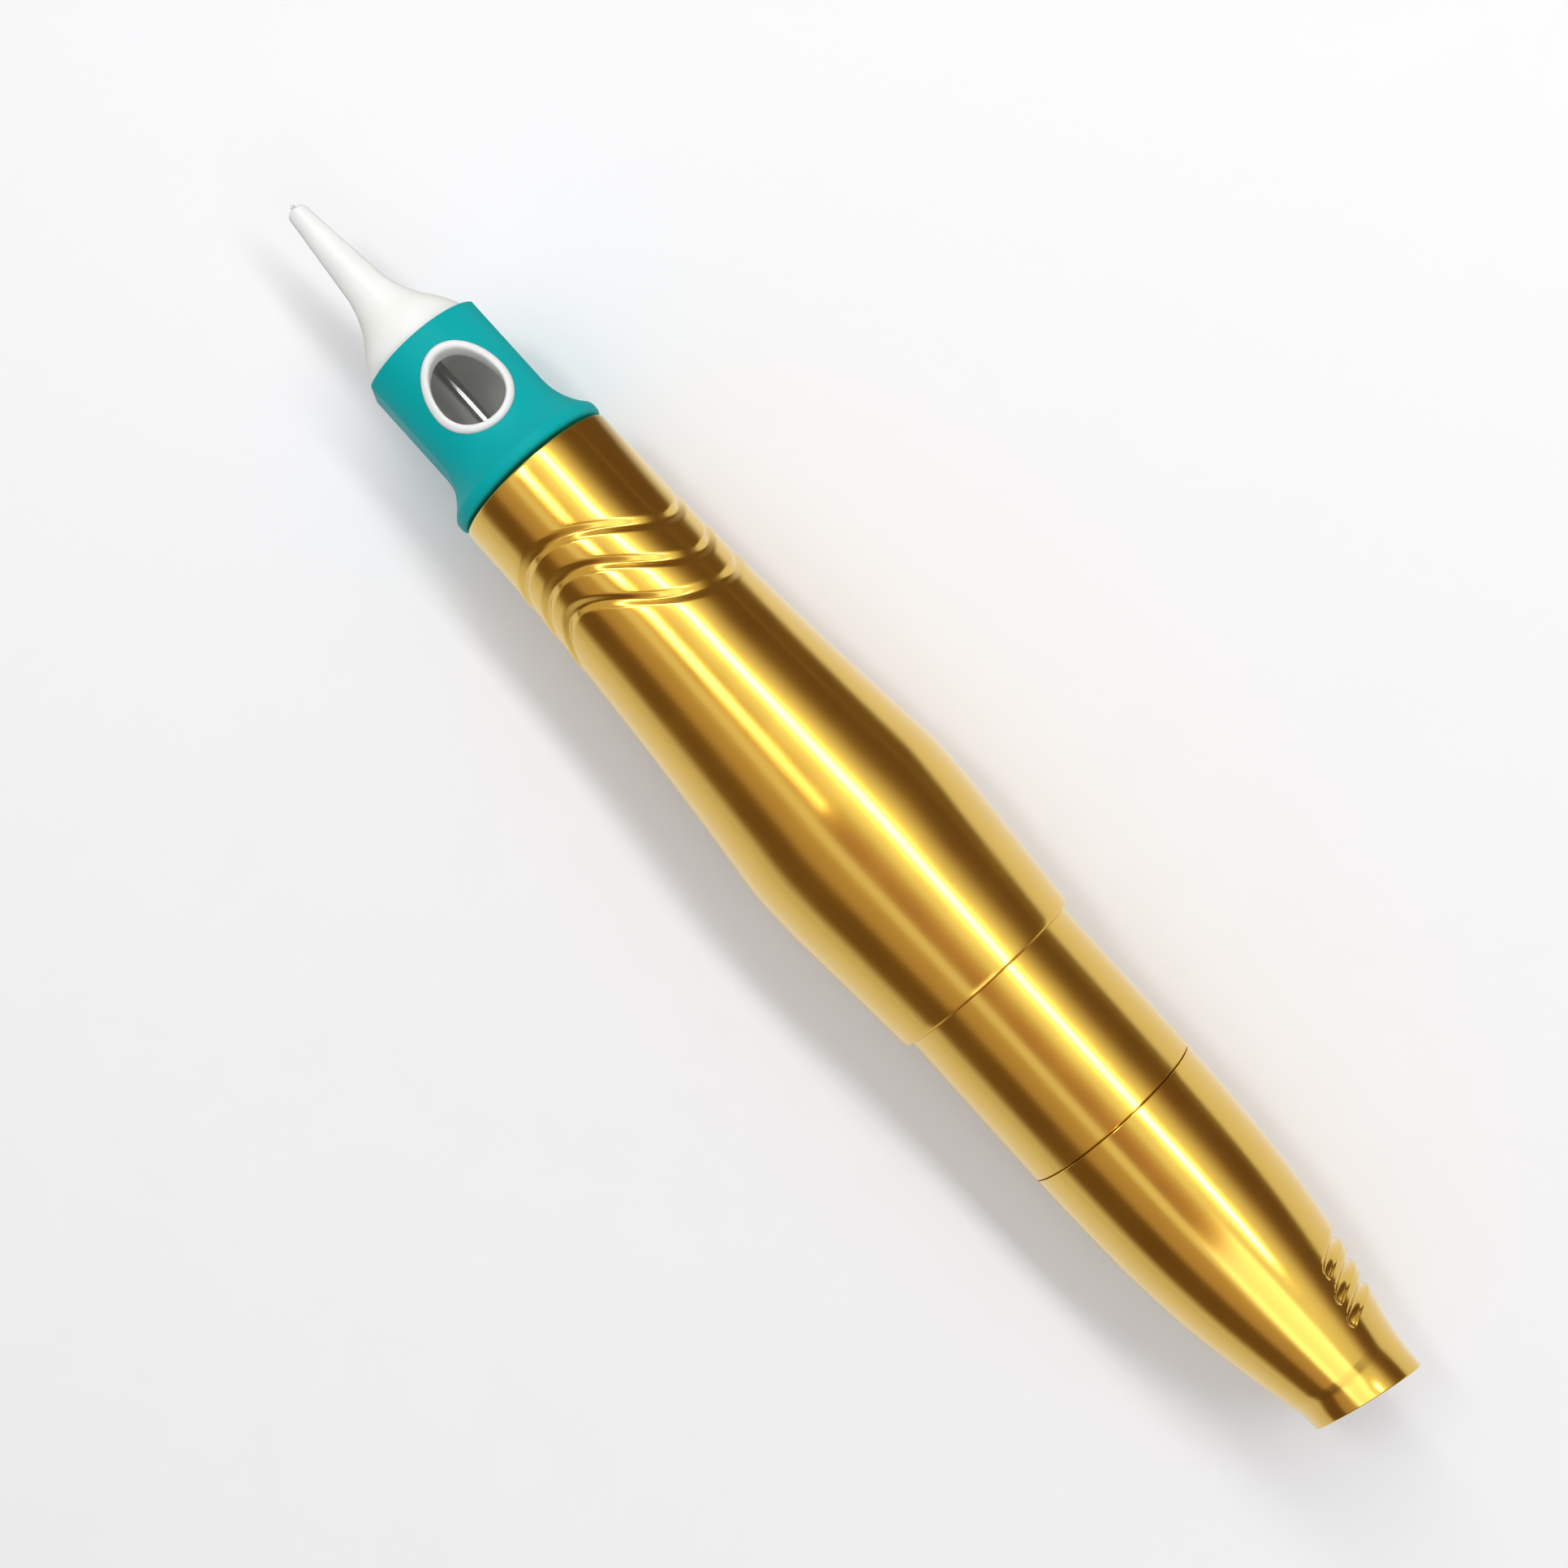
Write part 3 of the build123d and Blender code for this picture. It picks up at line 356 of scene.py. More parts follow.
def closed_skin(sizes, outline, edge, outside, after, turn):
    """Points and faces of a turned wall: its rounded front edge, shaped rows and plain rows, closed into a ring."""
    before = rounded_edge(outline[0], (0, -edge), (edge, 0))[:-1]
    plain = np.ones_like(turn)
    station, radius = (np.vstack([before[:, [n]] * plain, outside[n], after[:, [n]] * plain]) for n in (0, 1))
    return pen_points(sizes, station, radius, turn), grid_faces(len(station), turn.shape[1])


def tail_outline(sizes):
    """The tail's outer curve: a round fall, an eased return, and a straight end, fuller round its middle."""
    start = np.array([sizes.tail_front, sizes.tail_front_radius])
    end = np.array([sizes.tail_end, sizes.tail_end_radius])
    fall, heading = arc_from(start, start + (end - start) * sizes.tail_ogee_share, (1, 0))
    ease, _ = arc_from(fall[-1], end, heading)
    outline = np.vstack([fall, ease[1:], end + (OUTLINE_OVERRUN, 0)])
    along = (outline[:, 0] - sizes.tail_full_station) / sizes.tail_full_reach
    return outline + (sizes.tail_fullness * bell(along))[:, None] * (0, 1)


def tail_skin(sizes):
    """The tail cap with its scoops, its oblique end, the recess for the plug and its bores.

    On the outside, station = row + lift ease(share), where share is the turn from SCOOP_TURN over half the scoop's
    turn, and ease is 0 up to SWEEP_START, rises along a parabola, and fades out before share 2. A scoop's cut is that
    of a ball of scoop_radius carried along its row, radius = outline - (sqrt(R^2 - d^2) - (R - depth)), with d the
    distance to the row or past its end. The end plane stands at tail_end + slope r cos(turn - end turn).
    """
    outline = tail_outline(sizes)
    front, last = outline[0, 0], sizes.tail_end - sizes.tail_straight
    ball, depth, lift, edge = sizes.scoop_radius, sizes.scoop_depth, sizes.scoop_lift, sizes.rear_edge_round
    middles = [front + sizes.scoop_setback + n * sizes.scoop_pitch for n in range(len(SCOOP_HALF_TURNS))]
    reach, lead = SCOOP_REACH * ball, middles[0] - SCOOP_LEAD * lift
    rows = spread([front + edge, lead, *mouth_marks(middles, reach), last], TAIL_STEPS)
    turn = full_turn(sizes.columns)
    half_turns = np.radians(np.interp(rows, middles, SCOOP_HALF_TURNS))[:, None]
    away = (turn - math.radians(SCOOP_TURN) + math.pi) % (2 * math.pi) - math.pi
    share = np.abs(away) / half_turns
    swept = np.clip((share - SWEEP_START) / (1 - SWEEP_START), 0, SWEEP_LIMIT)
    eased = swept * swept * np.clip(SWEEP_FADE * (2 - share), 0, 1)
    strength = np.interp(rows, [lead, middles[0] - reach, middles[-1] + reach, last], [0, 1, 1, 0])
    station = rows[:, None] + lift * strength[:, None] * eased
    base = radius_at(outline, station)
    past = np.clip(share - 1, 0, None) * half_turns * base
    nearest = np.min(np.abs(rows[:, None] - np.array(middles)), axis=1)[:, None]
    gap = np.sqrt(np.clip(ball**2 - nearest**2 - past**2, 0, None)) - (ball - depth)
    radius = base - (gap + np.sqrt(gap**2 + EDGE_SOFTNESS**2)) / 2

    tilt = math.tan(math.radians(sizes.end_tilt)) * np.cos(turn - math.radians(sizes.end_turn))
    outer, recess = sizes.tail_end_radius, sizes.recess_radius
    end, lip = sizes.tail_end, sizes.lip_round
    shares = np.linspace(0, 1, END_STEPS + 1)[1:, None]
    straight_radius = radius_at(outline, last + shares * (end - last)) * np.ones_like(turn)
    straight_station = last + shares * (end + tilt * outer - lip - last)
    turned_over = rounded_edge((0, 0), (-lip, 0), (0, -lip))[1:]
    turned_in = rounded_edge((0, 0), (0, lip), (-lip, 0))
    lip_station = [end + tilt * outer + turned_over[:, :1], end + tilt * recess + turned_in[:, :1]]
    lip_radius = [outer + turned_over[:, 1:] * np.ones_like(turn), recess + turned_in[:, 1:] * np.ones_like(turn)]
    station = np.vstack([station, straight_station, *lip_station])
    radius = np.vstack([radius, straight_radius, *lip_radius])

    inside = stepped_bore(
        end,
        (recess, sizes.recess_floor),
        (sizes.jack_neck_radius, sizes.jack_web_front),
        (sizes.jack_cavity_radius, sizes.cavity_rear),
        (sizes.tail_cavity_radius, sizes.tail_joint_front),
        (sizes.tail_joint_radius, front),
    )[1:]
    return closed_skin(sizes, outline, edge, (station, radius), inside, turn)


def egg_sizes(sizes, inset):
    """The station of the egg's middle, its reach to the front and half its width, all round smaller by an inset."""
    return sizes.window_station, sizes.window_front_reach - inset, sizes.window_half_width - inset


def egg_rows(sizes, inset, count=22):
    """Stations from the window's front tip to its rear tip, closer together at the tips."""
    middle, reach, half = egg_sizes(sizes, inset)
    swing = np.linspace(0, math.pi / 2, count)
    return np.concatenate([middle - reach * np.cos(swing), (middle + half * np.sin(swing))[1:]])


def opened_turn(sizes, inset, station, radius):
    """Turns round the pen, one row for each station, that leave the window's egg open.

    The egg is half an ellipse to the front of its middle and half a circle to the rear. Half its width w opens the
    section by o = arcsin(w / radius) on both sides, so turn = o + share (360 degrees - 2 o), share from 0 to 1.
    """
    middle, reach, half = egg_sizes(sizes, inset)
    along = (station - middle) / np.where(station < middle, reach, half)
    width = half * np.sqrt(np.clip(1 - along**2, 0, None))
    opening = np.arcsin(np.clip(width / radius, 0, 1))[:, None]
    share = np.linspace(0, 1, sizes.columns // 2 + 1)[None, :]
    return opening + share * (2 * math.pi - 2 * opening)


def windowed_wall(sizes, outer, inner, window):
    """Points and faces of a wall whose window, between two rows, is open at the first and last columns.

    outer and inner are (station, radius, turn) grids of one size.
    """
    count, roll = outer[2].shape[1], math.radians(sizes.cartridge_roll)
    points = np.vstack([pen_points(sizes, s[:, None], r, t + roll) for s, r, t in (outer, inner)])
    rows, total = len(outer[0]), len(outer[0]) * count
    a = (np.arange(rows - 1)[:, None] * count + np.arange(count - 1)[None, :]).ravel()
    c, last = np.arange(count - 1), (rows - 1) * count
    low = np.arange(*window) * count
    high, far = low + count, count - 1
    corners = (
        (a, a + count, a + count + 1, a + 1),
        (total + a, total + a + 1, total + a + count + 1, total + a + count),
        (last + c, total + last + c, total + last + c + 1, last + c + 1),
        (total + c, c, c + 1, total + c + 1),
        (low, total + low, total + high, high),
        (low + far, high + far, total + high + far, total + low + far),
    )
    return points, np.vstack([np.stack(quad, axis=1) for quad in corners])


def sleeve_outline(sizes):
    """The sleeve's outer curve: a crown, a hollow flare, a round brow, the flange's top and its rear edge.

    Flare and brow turn by the same angle b and rise together by (flare + brow) (1 - cos b), which gives b.
    """
    front, rear = sizes.sleeve_front, sizes.sleeve_rear
    crown, flange, edge = sizes.crown_radius, sizes.flange_radius, sizes.flange_roll
    flare, brow, top = sizes.flare_radius, sizes.brow_radius, rear - sizes.flange_land
    turn = math.acos(1 - (flange - crown) / (flare + brow))
    start = top - (flare + brow) * math.sin(turn)
    a, b = np.linspace(0, turn, SLEEVE_STEPS["flare"]), np.linspace(turn, 0, SLEEVE_STEPS["brow"])[1:]
    hollow = np.stack([start + flare * np.sin(a), crown + flare * (1 - np.cos(a))], axis=1)
    rounded = np.stack([top - brow * np.sin(b), flange - brow * (1 - np.cos(b))], axis=1)
    return np.vstack([[(front, crown)], hollow, rounded, rounded_edge((rear, flange), (-edge, 0), (0, -edge))])


def sleeve_skin(sizes):
    """The sleeve: its crown with two side flats, its flange, and the egg-shaped window through it.

    The outside is the least of the turned radius and flat / |sin turn|, (a + b - sqrt((a - b)^2 + s^2)) / 2 with a
    small softness s. The flats run out into the flange along a circle of the flare's radius.
    """
    outline = sleeve_outline(sizes)
    front, edge, inset = sizes.sleeve_front, sizes.moulded_edge, -sizes.window_play
    egg = egg_rows(sizes, inset)
    ahead = np.concatenate([[front], np.linspace(front + edge, egg[0], SLEEVE_STEPS["ahead"])[:-1]])
    behind = outline[:, 0][outline[:, 0] > egg[-1] + WINDOW_GAP]
    rows = np.concatenate([ahead, egg, behind])

    flare, flange = sizes.flare_radius, sizes.flange_radius
    flat = sizes.crown_radius - sizes.flat_depth
    run = math.sqrt(flare**2 - (flare - (flange - flat)) ** 2)
    along = np.clip(rows - (sizes.sleeve_rear - sizes.flat_end) + run, 0, flare)
    across = (flat + flare - np.sqrt(flare**2 - along**2))[:, None]

    turned = radius_at(outline, rows)
    turn = opened_turn(sizes, inset, rows, turned)
    side = across / np.maximum(np.abs(np.sin(turn)), LEAST_SINE)
    turned = turned[:, None]
    outside = (turned + side - np.sqrt((turned - side) ** 2 + EDGE_SOFTNESS**2)) / 2
    outside[0] -= edge
    inner_radius = np.full(len(rows), sizes.sleeve_bore_radius)
    inner = (rows, inner_radius[:, None], opened_turn(sizes, inset, rows, inner_radius))
    window = (len(ahead), len(ahead) + len(egg) - 1)
    return windowed_wall(sizes, (rows, outside, turn), inner, window)


def nose_outline(sizes):
    """The nose's outer curve: a rounded mouth, a slim taper, a flare, and a round base."""
    front, base = sizes.nozzle_front, np.array([sizes.sleeve_front, sizes.nose_base_radius])
    mouth, edge = sizes.nozzle_radius, sizes.nozzle_round
    length = base[0] - front
    taper_end = np.array([front + NOSE_TAPER_SHARES[0] * length, NOSE_TAPER_SHARES[1] * base[1]])
    middle = taper_end + (base - taper_end) * NOSE_FLARE_SHARES
    flare, heading = arc_from(taper_end, middle, taper_end - (front, mouth), NOSE_STEPS["flare"])
    ease, _ = arc_from(middle, base, heading, NOSE_STEPS["base"])
    lip = rounded_edge((front, mouth), (0, -edge), (edge, 0))
    taper = spread([lip[-1], taper_end], (NOSE_STEPS["taper"],))
    return np.vstack([lip, taper[1:], flare[1:], ease[1:]])


def nose_skin(sizes):
    """The nose and the chamber behind it in the sleeve, its bore, and the window cut through the chamber's wall."""
    outline = nose_outline(sizes)
    front, rear = sizes.nozzle_front, sizes.sleeve_rear
    step, chamber = sizes.housing_radius, sizes.chamber_radius
    mouth, throat = sizes.nozzle_bore, sizes.throat_radius
    outer = np.vstack([outline, [(outline[-1, 0], step)]])
    corners = [(front, mouth), (sizes.nozzle_bore_end, mouth), (sizes.throat_front, throat)]
    corners += [(sizes.throat_rear, throat), (sizes.chamber_front, chamber)]
    steps = [NOSE_STEPS["bore"]] * (len(corners) - 2)
    inner = spread(corners, [*steps, len(outer) - 1 - sum(steps)])

    inset = sizes.rim_width / 2
    egg = egg_rows(sizes, inset)
    ahead = np.linspace(corners[-1][0] + CHAMBER_GAP, egg[0], NOSE_STEPS["ahead"])[:-1]
    behind = np.linspace(egg[-1], rear, NOSE_STEPS["behind"])[1:]
    shared = np.concatenate([ahead, egg, behind])
    sides = []
    for before, radius in ((outer, step), (inner, chamber)):
        station = np.concatenate([before[:, 0], shared])
        radii = np.concatenate([before[:, 1], np.full(len(shared), radius)])
        sides.append((station, radii[:, None], opened_turn(sizes, inset, station, radii)))
    start = len(outer) + len(ahead)
    return windowed_wall(sizes, *sides, (start, start + len(egg) - 1))


def rim_skin(sizes):
    """The raised rim of the window, which follows the egg with a rounded lip.

    A section runs up the rim's inside, over a half circle as wide as the rim, and down its outside. Its point at
    distance y beside the window's middle turns by arcsin(y / level), so the lip keeps one distance from the axis.
    """
    width, foot = sizes.rim_width, sizes.chamber_radius + RIM_GAP
    top = sizes.rim_radius - width / 2
    over = np.linspace(0, math.pi, RIM_POINTS)
    across = np.concatenate([[0], (1 - np.cos(over)) / 2, [1]])[:, None]
    level = np.concatenate([[foot], top + width / 2 * np.sin(over), [foot]])[:, None]
    round_egg = full_turn(sizes.columns // 2)
    inset = width * (1 - across)
    reach = np.where(np.cos(round_egg) < 0, sizes.window_front_reach, sizes.window_half_width) - inset
    station = sizes.window_station + reach * np.cos(round_egg)
    beside = (sizes.window_half_width - inset) * np.sin(round_egg)
    turn = np.arcsin(beside / level) + math.radians(sizes.cartridge_roll)
    return pen_points(sizes, station, level, turn), grid_faces(len(level), round_egg.shape[1])


# Finishes

# Cycles per metre along X, Y and Z of two grains: lathe rings 0.25 mm apart, and an even grain
LATHE_RINGS = (4000.0, 60.0, 60.0)
EVEN_GRAIN = (3000.0, 3000.0, 3000.0)
# The mottle's noise in cycles per metre, the span of its values that counts, and what share of roughness it changes
MOTTLE_SCALE = 160.0
MOTTLE_SPAN = (0.3, 0.7)
ROUGHNESS_MOTTLE = 0.12
# How deep light goes into soft plastic, in metres, and what share of that its red, green and blue go
SUBSURFACE_SCALE = 0.002
SUBSURFACE_SHARES = (1.0, 0.92, 0.8)


def finish_material(
    name, colour, roughness, metallic=0.0, ior=None, grain=None, grain_depth=0.0, mottle=0.06, subsurface=0.0,
    coat=0.0, coat_roughness=0.03, coat_ior=1.5, coat_tint="#FFFFFF", specular=0.5,
):
    """A finish of base colour and roughness, with a fine grain in bump and a faint mottle in colour and roughness.

    grain is (cycles per metre along X, across Y, across Z) of the noise behind the bump, from a real grain width, and
    grain_depth its height in millimetres.
    """
    material = bpy.data.materials.new(name)
    node = empty_nodes(material)
    shader = node("BsdfPrincipled")
    node("OutputMaterial", surface=shader)
    place = node("TexCoord").outputs["Object"]
    broad = node("TexNoise", {"Scale": MOTTLE_SCALE, "Detail": 3.0}, vector=place)
    shade = node("ValToRGB", fac=broad)
    base = hex_colour(colour)[:3]
    ends = [(*(min(1.0, c * level) for c in base), 1.0) for level in (1.0 - mottle, 1.0 + mottle)]
    ramp_stops(shade, list(zip(MOTTLE_SPAN, ends)))
    span = {"From Min": MOTTLE_SPAN[0], "From Max": MOTTLE_SPAN[1]}
    span |= {"To Min": roughness * (1 - ROUGHNESS_MOTTLE), "To Max": roughness * (1 + ROUGHNESS_MOTTLE)}
    join(shader, base_color=shade, roughness=node("MapRange", span, value=broad))
    values = {"Metallic": metallic, "Specular IOR Level": specular}
    if ior:
        values["IOR"] = ior
    if subsurface:
        values |= {"Subsurface Weight": subsurface, "Subsurface Scale": SUBSURFACE_SCALE}
        values["Subsurface Radius"] = SUBSURFACE_SHARES
    if coat:
        values |= {"Coat Weight": coat, "Coat Roughness": coat_roughness, "Coat IOR": coat_ior}
        values["Coat Tint"] = hex_colour(coat_tint)
    for socket, value in values.items():
        shader.inputs[socket].default_value = value
    if grain:
        stretch = node("Mapping", {"Scale": grain}, vector=place)
        fine = node("TexNoise", {"Scale": 1.0, "Detail": 2.0}, vector=stretch)
        bump = node("Bump", {"Distance": grain_depth * MM}, height=fine)
        join(shader, normal=bump)
    return material


def metal(colour, roughness, grain, grain_depth, **more):
    """The settings of a metal's finish."""
    return dict(colour=colour, roughness=roughness, metallic=1.0, grain=grain, grain_depth=grain_depth, **more)


def polymer(colour, roughness, ior, grain_depth, mottle, **more):
    """The settings of a plastic's or rubber's finish, which has an even grain."""
    more |= dict(colour=colour, roughness=roughness, ior=ior, mottle=mottle)
    return dict(grain=EVEN_GRAIN, grain_depth=grain_depth, **more)


# The clear sealed layer on anodised aluminium
SEALED_LAYER = {"mottle": 0.02, "coat": 1.0, "coat_ior": 1.65, "coat_tint": "#FFFBDC"}
# Each finish of the pen: the pieces that wear it and its settings. A colour is sRGB hex or one of PenColours.
FINISHES = {
    # Turned aluminium, bead polished and anodised under a clear sealed layer: lathe rings 0.25 mm apart.
    "satin_anodised_gold": (
        ("grip_shell", "motor_barrel"),
        metal("gold", 0.21, LATHE_RINGS, 0.0005, coat_roughness=0.14, **SEALED_LAYER),
    ),
    # The same alloy, turned finer and polished before anodising, so that the lamps stand in it more sharply.
    "polished_anodised_gold": (
        ("tail_cap",),
        metal("gold", 0.17, LATHE_RINGS, 0.0004, coat_roughness=0.12, **SEALED_LAYER),
    ),
    # Injection moulded polypropylene: soft gloss, and light goes into it.
    "moulded_milky_plastic": (
        ("cartridge_housing", "cartridge_plug"),
        polymer("milky", 0.34, 1.49, 0.004, 0.02, subsurface=0.7),
    ),
    # Injection moulded ABS, coloured through: semi-gloss with a fine spark-eroded skin.
    "moulded_teal_plastic": (("cartridge_sleeve",), polymer("teal", 0.5, 1.46, 0.004, 0.03, specular=0.12)),
    # Liquid silicone rubber: milky, soft sheen.
    "silicone_rubber": (("cartridge_membrane",), polymer("#DCDDD8", 0.5, 1.41, 0.006, 0.03, subsurface=0.25)),
    # Drawn stainless wire and rod: drawing lines run along it.
    "drawn_steel": (
        ("needle_points", "needle_bar", "push_rod", "follower_pin", "guide_pin", "motor_shaft"),
        metal("#C9CACB", 0.2, (200.0, 9000.0, 9000.0), 0.001),
    ),
    # Turned stainless steel: fine rings.
    "turned_steel": (
        ("key_socket", "seat_ring", "cam_screw", "mount_screws"),
        metal("#BFC0C2", 0.26, LATHE_RINGS, 0.002),
    ),
    # Deep drawn and nickel washed steel can.
    "deep_drawn_can": (("motor_can",), metal("#B9B8B4", 0.3, (400.0, 2500.0, 2500.0), 0.002)),
    # Moulded acetal: black, dull.
    "moulded_black_plastic": (
        ("needle_plunger", "motor_end_cap", "jack_insulator"),
        polymer("#1B1B1C", 0.45, 1.48, 0.006, 0.1),
    ),
    # Moulded nitrile rubber: matt black.
    "nitrile_rubber": (("socket_seal", "friction_ring", "rod_seal"), polymer("#18181A", 0.62, 1.52, 0.01, 0.12)),
    # Sintered bronze: pores 0.1 mm apart, brown and dull.
    "sintered_bronze": (
        ("push_rod_bush", "motor_bearings"),
        metal("#A9793F", 0.42, (9000.0, 9000.0, 9000.0), 0.02, mottle=0.14),
    ),
    # Plain turned aluminium.
    "turned_aluminium": (("drive_carriage", "cam_drum", "motor_mount"), metal("#C6C7C9", 0.28, LATHE_RINGS, 0.003)),
    # Stamped sheet brass.
    "stamped_brass": (
        ("motor_brushes", "motor_terminals", "jack_contacts", "commutator"),
        metal("#D2B05C", 0.28, (2500.0, 400.0, 2500.0), 0.002),
    ),
    # Nickel plate on turned brass: warm, bright.
    "plated_nickel": (("jack_socket", "jack_nut"), metal("#C8C4B8", 0.16, LATHE_RINGS, 0.001)),
    # Sintered magnet: dark grey with a coarse grain.
    "sintered_magnet": (("motor_magnet",), metal("#4A4A4E", 0.5, (7000.0, 7000.0, 7000.0), 0.02, mottle=0.12)),
    # Enamelled winding wire 0.1 mm thick, wound at a slant and varnished.
    "varnished_copper": (("motor_coil",), metal("#B8652F", 0.3, (800.0, 8000.0, 8000.0), 0.02, coat=0.6)),
    # Extruded silicone sleeving.
    "red_wire_sleeving": (("lead_red",), polymer("#A81C1C", 0.48, 1.43, 0.004, 0.08)),
    "black_wire_sleeving": (("lead_black",), polymer("#1A1A1A", 0.48, 1.43, 0.004, 0.08)),
}


# Settings


# Each length of the skins: what it is, and its default in millimetres
LENGTHS = dict(
    overall_length=("From the needle points to the tail's furthest corner", 142.085),
    axis_height=("Height of the pen's axis over the table", 10.49),
    edge_round=("Rounding of the grip's front edge", 0.25),
    rear_edge_round=("Rounding of the edges at the seams", 0.14),
    seam_cover=("How far the grip reaches on towards the barrel's shoulder", 0.09),
    grip_front=("Station of the grip's front", 32.6),
    grip_length=("Length of the grip", 58.75),
    grip_front_radius=("Radius at the grip's front", 7.82),
    grip_flare=("How much wider the grip's front edge is than its taper", 0.12),
    grip_flare_length=("How far back the front edge's flare goes", 10.0),
    belly_radius=("Radius at the grip's crest", 10.49),
    grip_front_bore=("Radius of the bore round the key socket", 6.92),
    grip_rear_bore=("Radius of the bore round the barrel's spigot", 7.45),
    land_radius=("Radius of the bore behind the seat ring", 5.35),
    land_front=("Station of the land's front", 44.1),
    land_rear=("Station of the land's rear", 52.195),
    friction_groove_station=("Station of the friction ring's groove", 87.95),
    friction_groove_half_width=("Half its width", 0.6),
    friction_groove_radius=("Radius of its bottom", 8.55),
    groove_half_width=("Half the width of a wave groove's mouth", 0.74),
    groove_depth=("Depth of a wave groove", 0.4),
    groove_run_out=("How far behind the last groove its swing dies out", 13.0),
    tail_front=("Station of the tail's front", 107.57),
    tail_end=("Station of the tail's end on the axis", 140.55),
    tail_front_radius=("Radius at the tail's front", 8.86),
    tail_end_radius=("Radius at the tail's end", 5.25),
    tail_fullness=("How much the tail is fuller than its arcs", 0.2),
    tail_full_station=("Station where the tail is fullest", 124.0),
    tail_full_reach=("How far that fullness goes on both sides", 14.0),
    tail_straight=("Length of the plain end behind the scoops", 4.5),
    lip_round=("Rounding of the tail's end", 0.16),
    recess_radius=("Radius of the tail's recess", 4.3),
    recess_floor=("Station of the recess's floor", 132.7),
    jack_neck_radius=("Radius of the hole for the jack's neck", 3.02),
    jack_web_front=("Station of the front of the web that holds the jack", 130.3),
    jack_cavity_radius=("Radius of the room round the jack", 4.6),
    cavity_rear=("Station where the wide cavity ends", 119.494),
    tail_cavity_radius=("Radius of the wide cavity", 6.68),
    tail_joint_front=("Station of the front of the tail's joint", 101.3),
    tail_joint_radius=("Radius of the tail's joint", 7.88),
    scoop_setback=("First scoop, behind the tail's front", 20.5),
    scoop_pitch=("Distance between the scoops", 2.2),
    scoop_radius=("Radius of the cutter that makes the scoops", 0.72),
    scoop_depth=("Depth of the scoops", 0.5),
    scoop_lift=("How far the scoops' ends sweep to the rear", 0.55),
    sleeve_front=("Station of the sleeve's front", 17.68),
    sleeve_rear=("Station of the sleeve's rear", 32.3),
    crown_radius=("Radius of the sleeve", 6.4),
    flange_radius=("Radius of the sleeve's flange", 8.0),
    flange_roll=("Rounding of the flange's rear edge", 0.45),
    flange_land=("Where the flange's top begins, before its rear", 0.8),
    flare_radius=("Radius of the flare in front of the flange", 5.5),
    brow_radius=("Radius of the round between flare and flange", 0.8),
    moulded_edge=("Bevel of the sleeve's front edge", 0.12),
    flat_depth=("Depth of the side flats", 0.6),
    flat_end=("Where the flats reach the flange, before its rear", 1.05),
    sleeve_bore_radius=("Radius of the sleeve's bore", 5.17),
    window_station=("Station of the window's widest place", 24.5),
    window_front_reach=("How far the window's rim reaches to the front", 4.8),
    window_half_width=("Half the width of the window's rim", 3.8),
    window_play=("Play between the rim and the sleeve", 0.02),
    rim_width=("Thickness of the window's rim", 0.75),
    rim_radius=("Distance of the rim's lip from the axis", 6.7),
    housing_radius=("Radius of the chamber's outside", 5.15),
    chamber_radius=("Radius of the chamber", 4.35),
    chamber_front=("Station of the chamber's front", 18.7),
    throat_radius=("Radius of the needle's way to the nose", 0.805),
    throat_front=("Station of the throat's front", 6.8),
    throat_rear=("Station of the throat's rear", 12.018),
    nozzle_front=("Station of the nose's mouth", 0.6),
    nozzle_radius=("Radius of the nose's mouth outside", 0.98),
    nozzle_round=("Rounding of the nose's mouth", 0.45),
    nozzle_bore=("Radius of the nose's mouth inside", 0.45),
    nozzle_bore_end=("Station where the mouth's bore widens", 5.0),
    nose_base_radius=("Radius of the nose at the sleeve", 5.65),
)


def setting(kind, name, description, default, **more):
    """A setting of one of the kinds of bpy.props."""
    return kind(name=name, description=description, default=default, **more)


class PenSizes(bpy.types.PropertyGroup):
    """Sizes of the pieces that are made anew: every length of LENGTHS, in metres, and what isn't a length."""

    columns: setting(IntProperty, "Columns", "Columns of a skin round the pen", 448)
    tail_ogee_share: setting(FloatProperty, "Tail fall", "Share of the tail before it eases", 0.88, subtype="FACTOR")
    end_tilt: setting(FloatProperty, "End tilt", "Slant of the tail's end, in degrees", 16.3)
    end_turn: setting(FloatProperty, "End turn", "Turn that the end leans to, in degrees", 148.7)
    cartridge_roll: setting(FloatProperty, "Cartridge roll", "Turn of the cartridge, in degrees", 12.5)


for length_name, (what, millimetres) in LENGTHS.items():
    PenSizes.__annotations__[length_name] = setting(
        FloatProperty, length_name.replace("_", " ").capitalize(), what, millimetres * MM, unit="LENGTH", precision=5
    )


def in_millimetres(settings):
    """The values of PenSizes by name, with its lengths in millimetres."""
    values = {name: getattr(settings, name) for name in PenSizes.__annotations__}
    values |= {name: values[name] / MM for name in LENGTHS}
    return SimpleNamespace(**values)


class PenColours(bpy.types.PropertyGroup):
    """Colours of the pen and of its table, as sRGB hex."""

    gold: setting(StringProperty, "Gold", "Colour of the anodised body", "#E3BD48")
    milky: setting(StringProperty, "Milky", "Colour of the cartridge's nose", "#F3F3EE")
    teal: setting(StringProperty, "Teal", "Colour of the cartridge's sleeve", "#00A2A4")
    table: setting(StringProperty, "Table", "Colour of the table", "#EFEFF1")


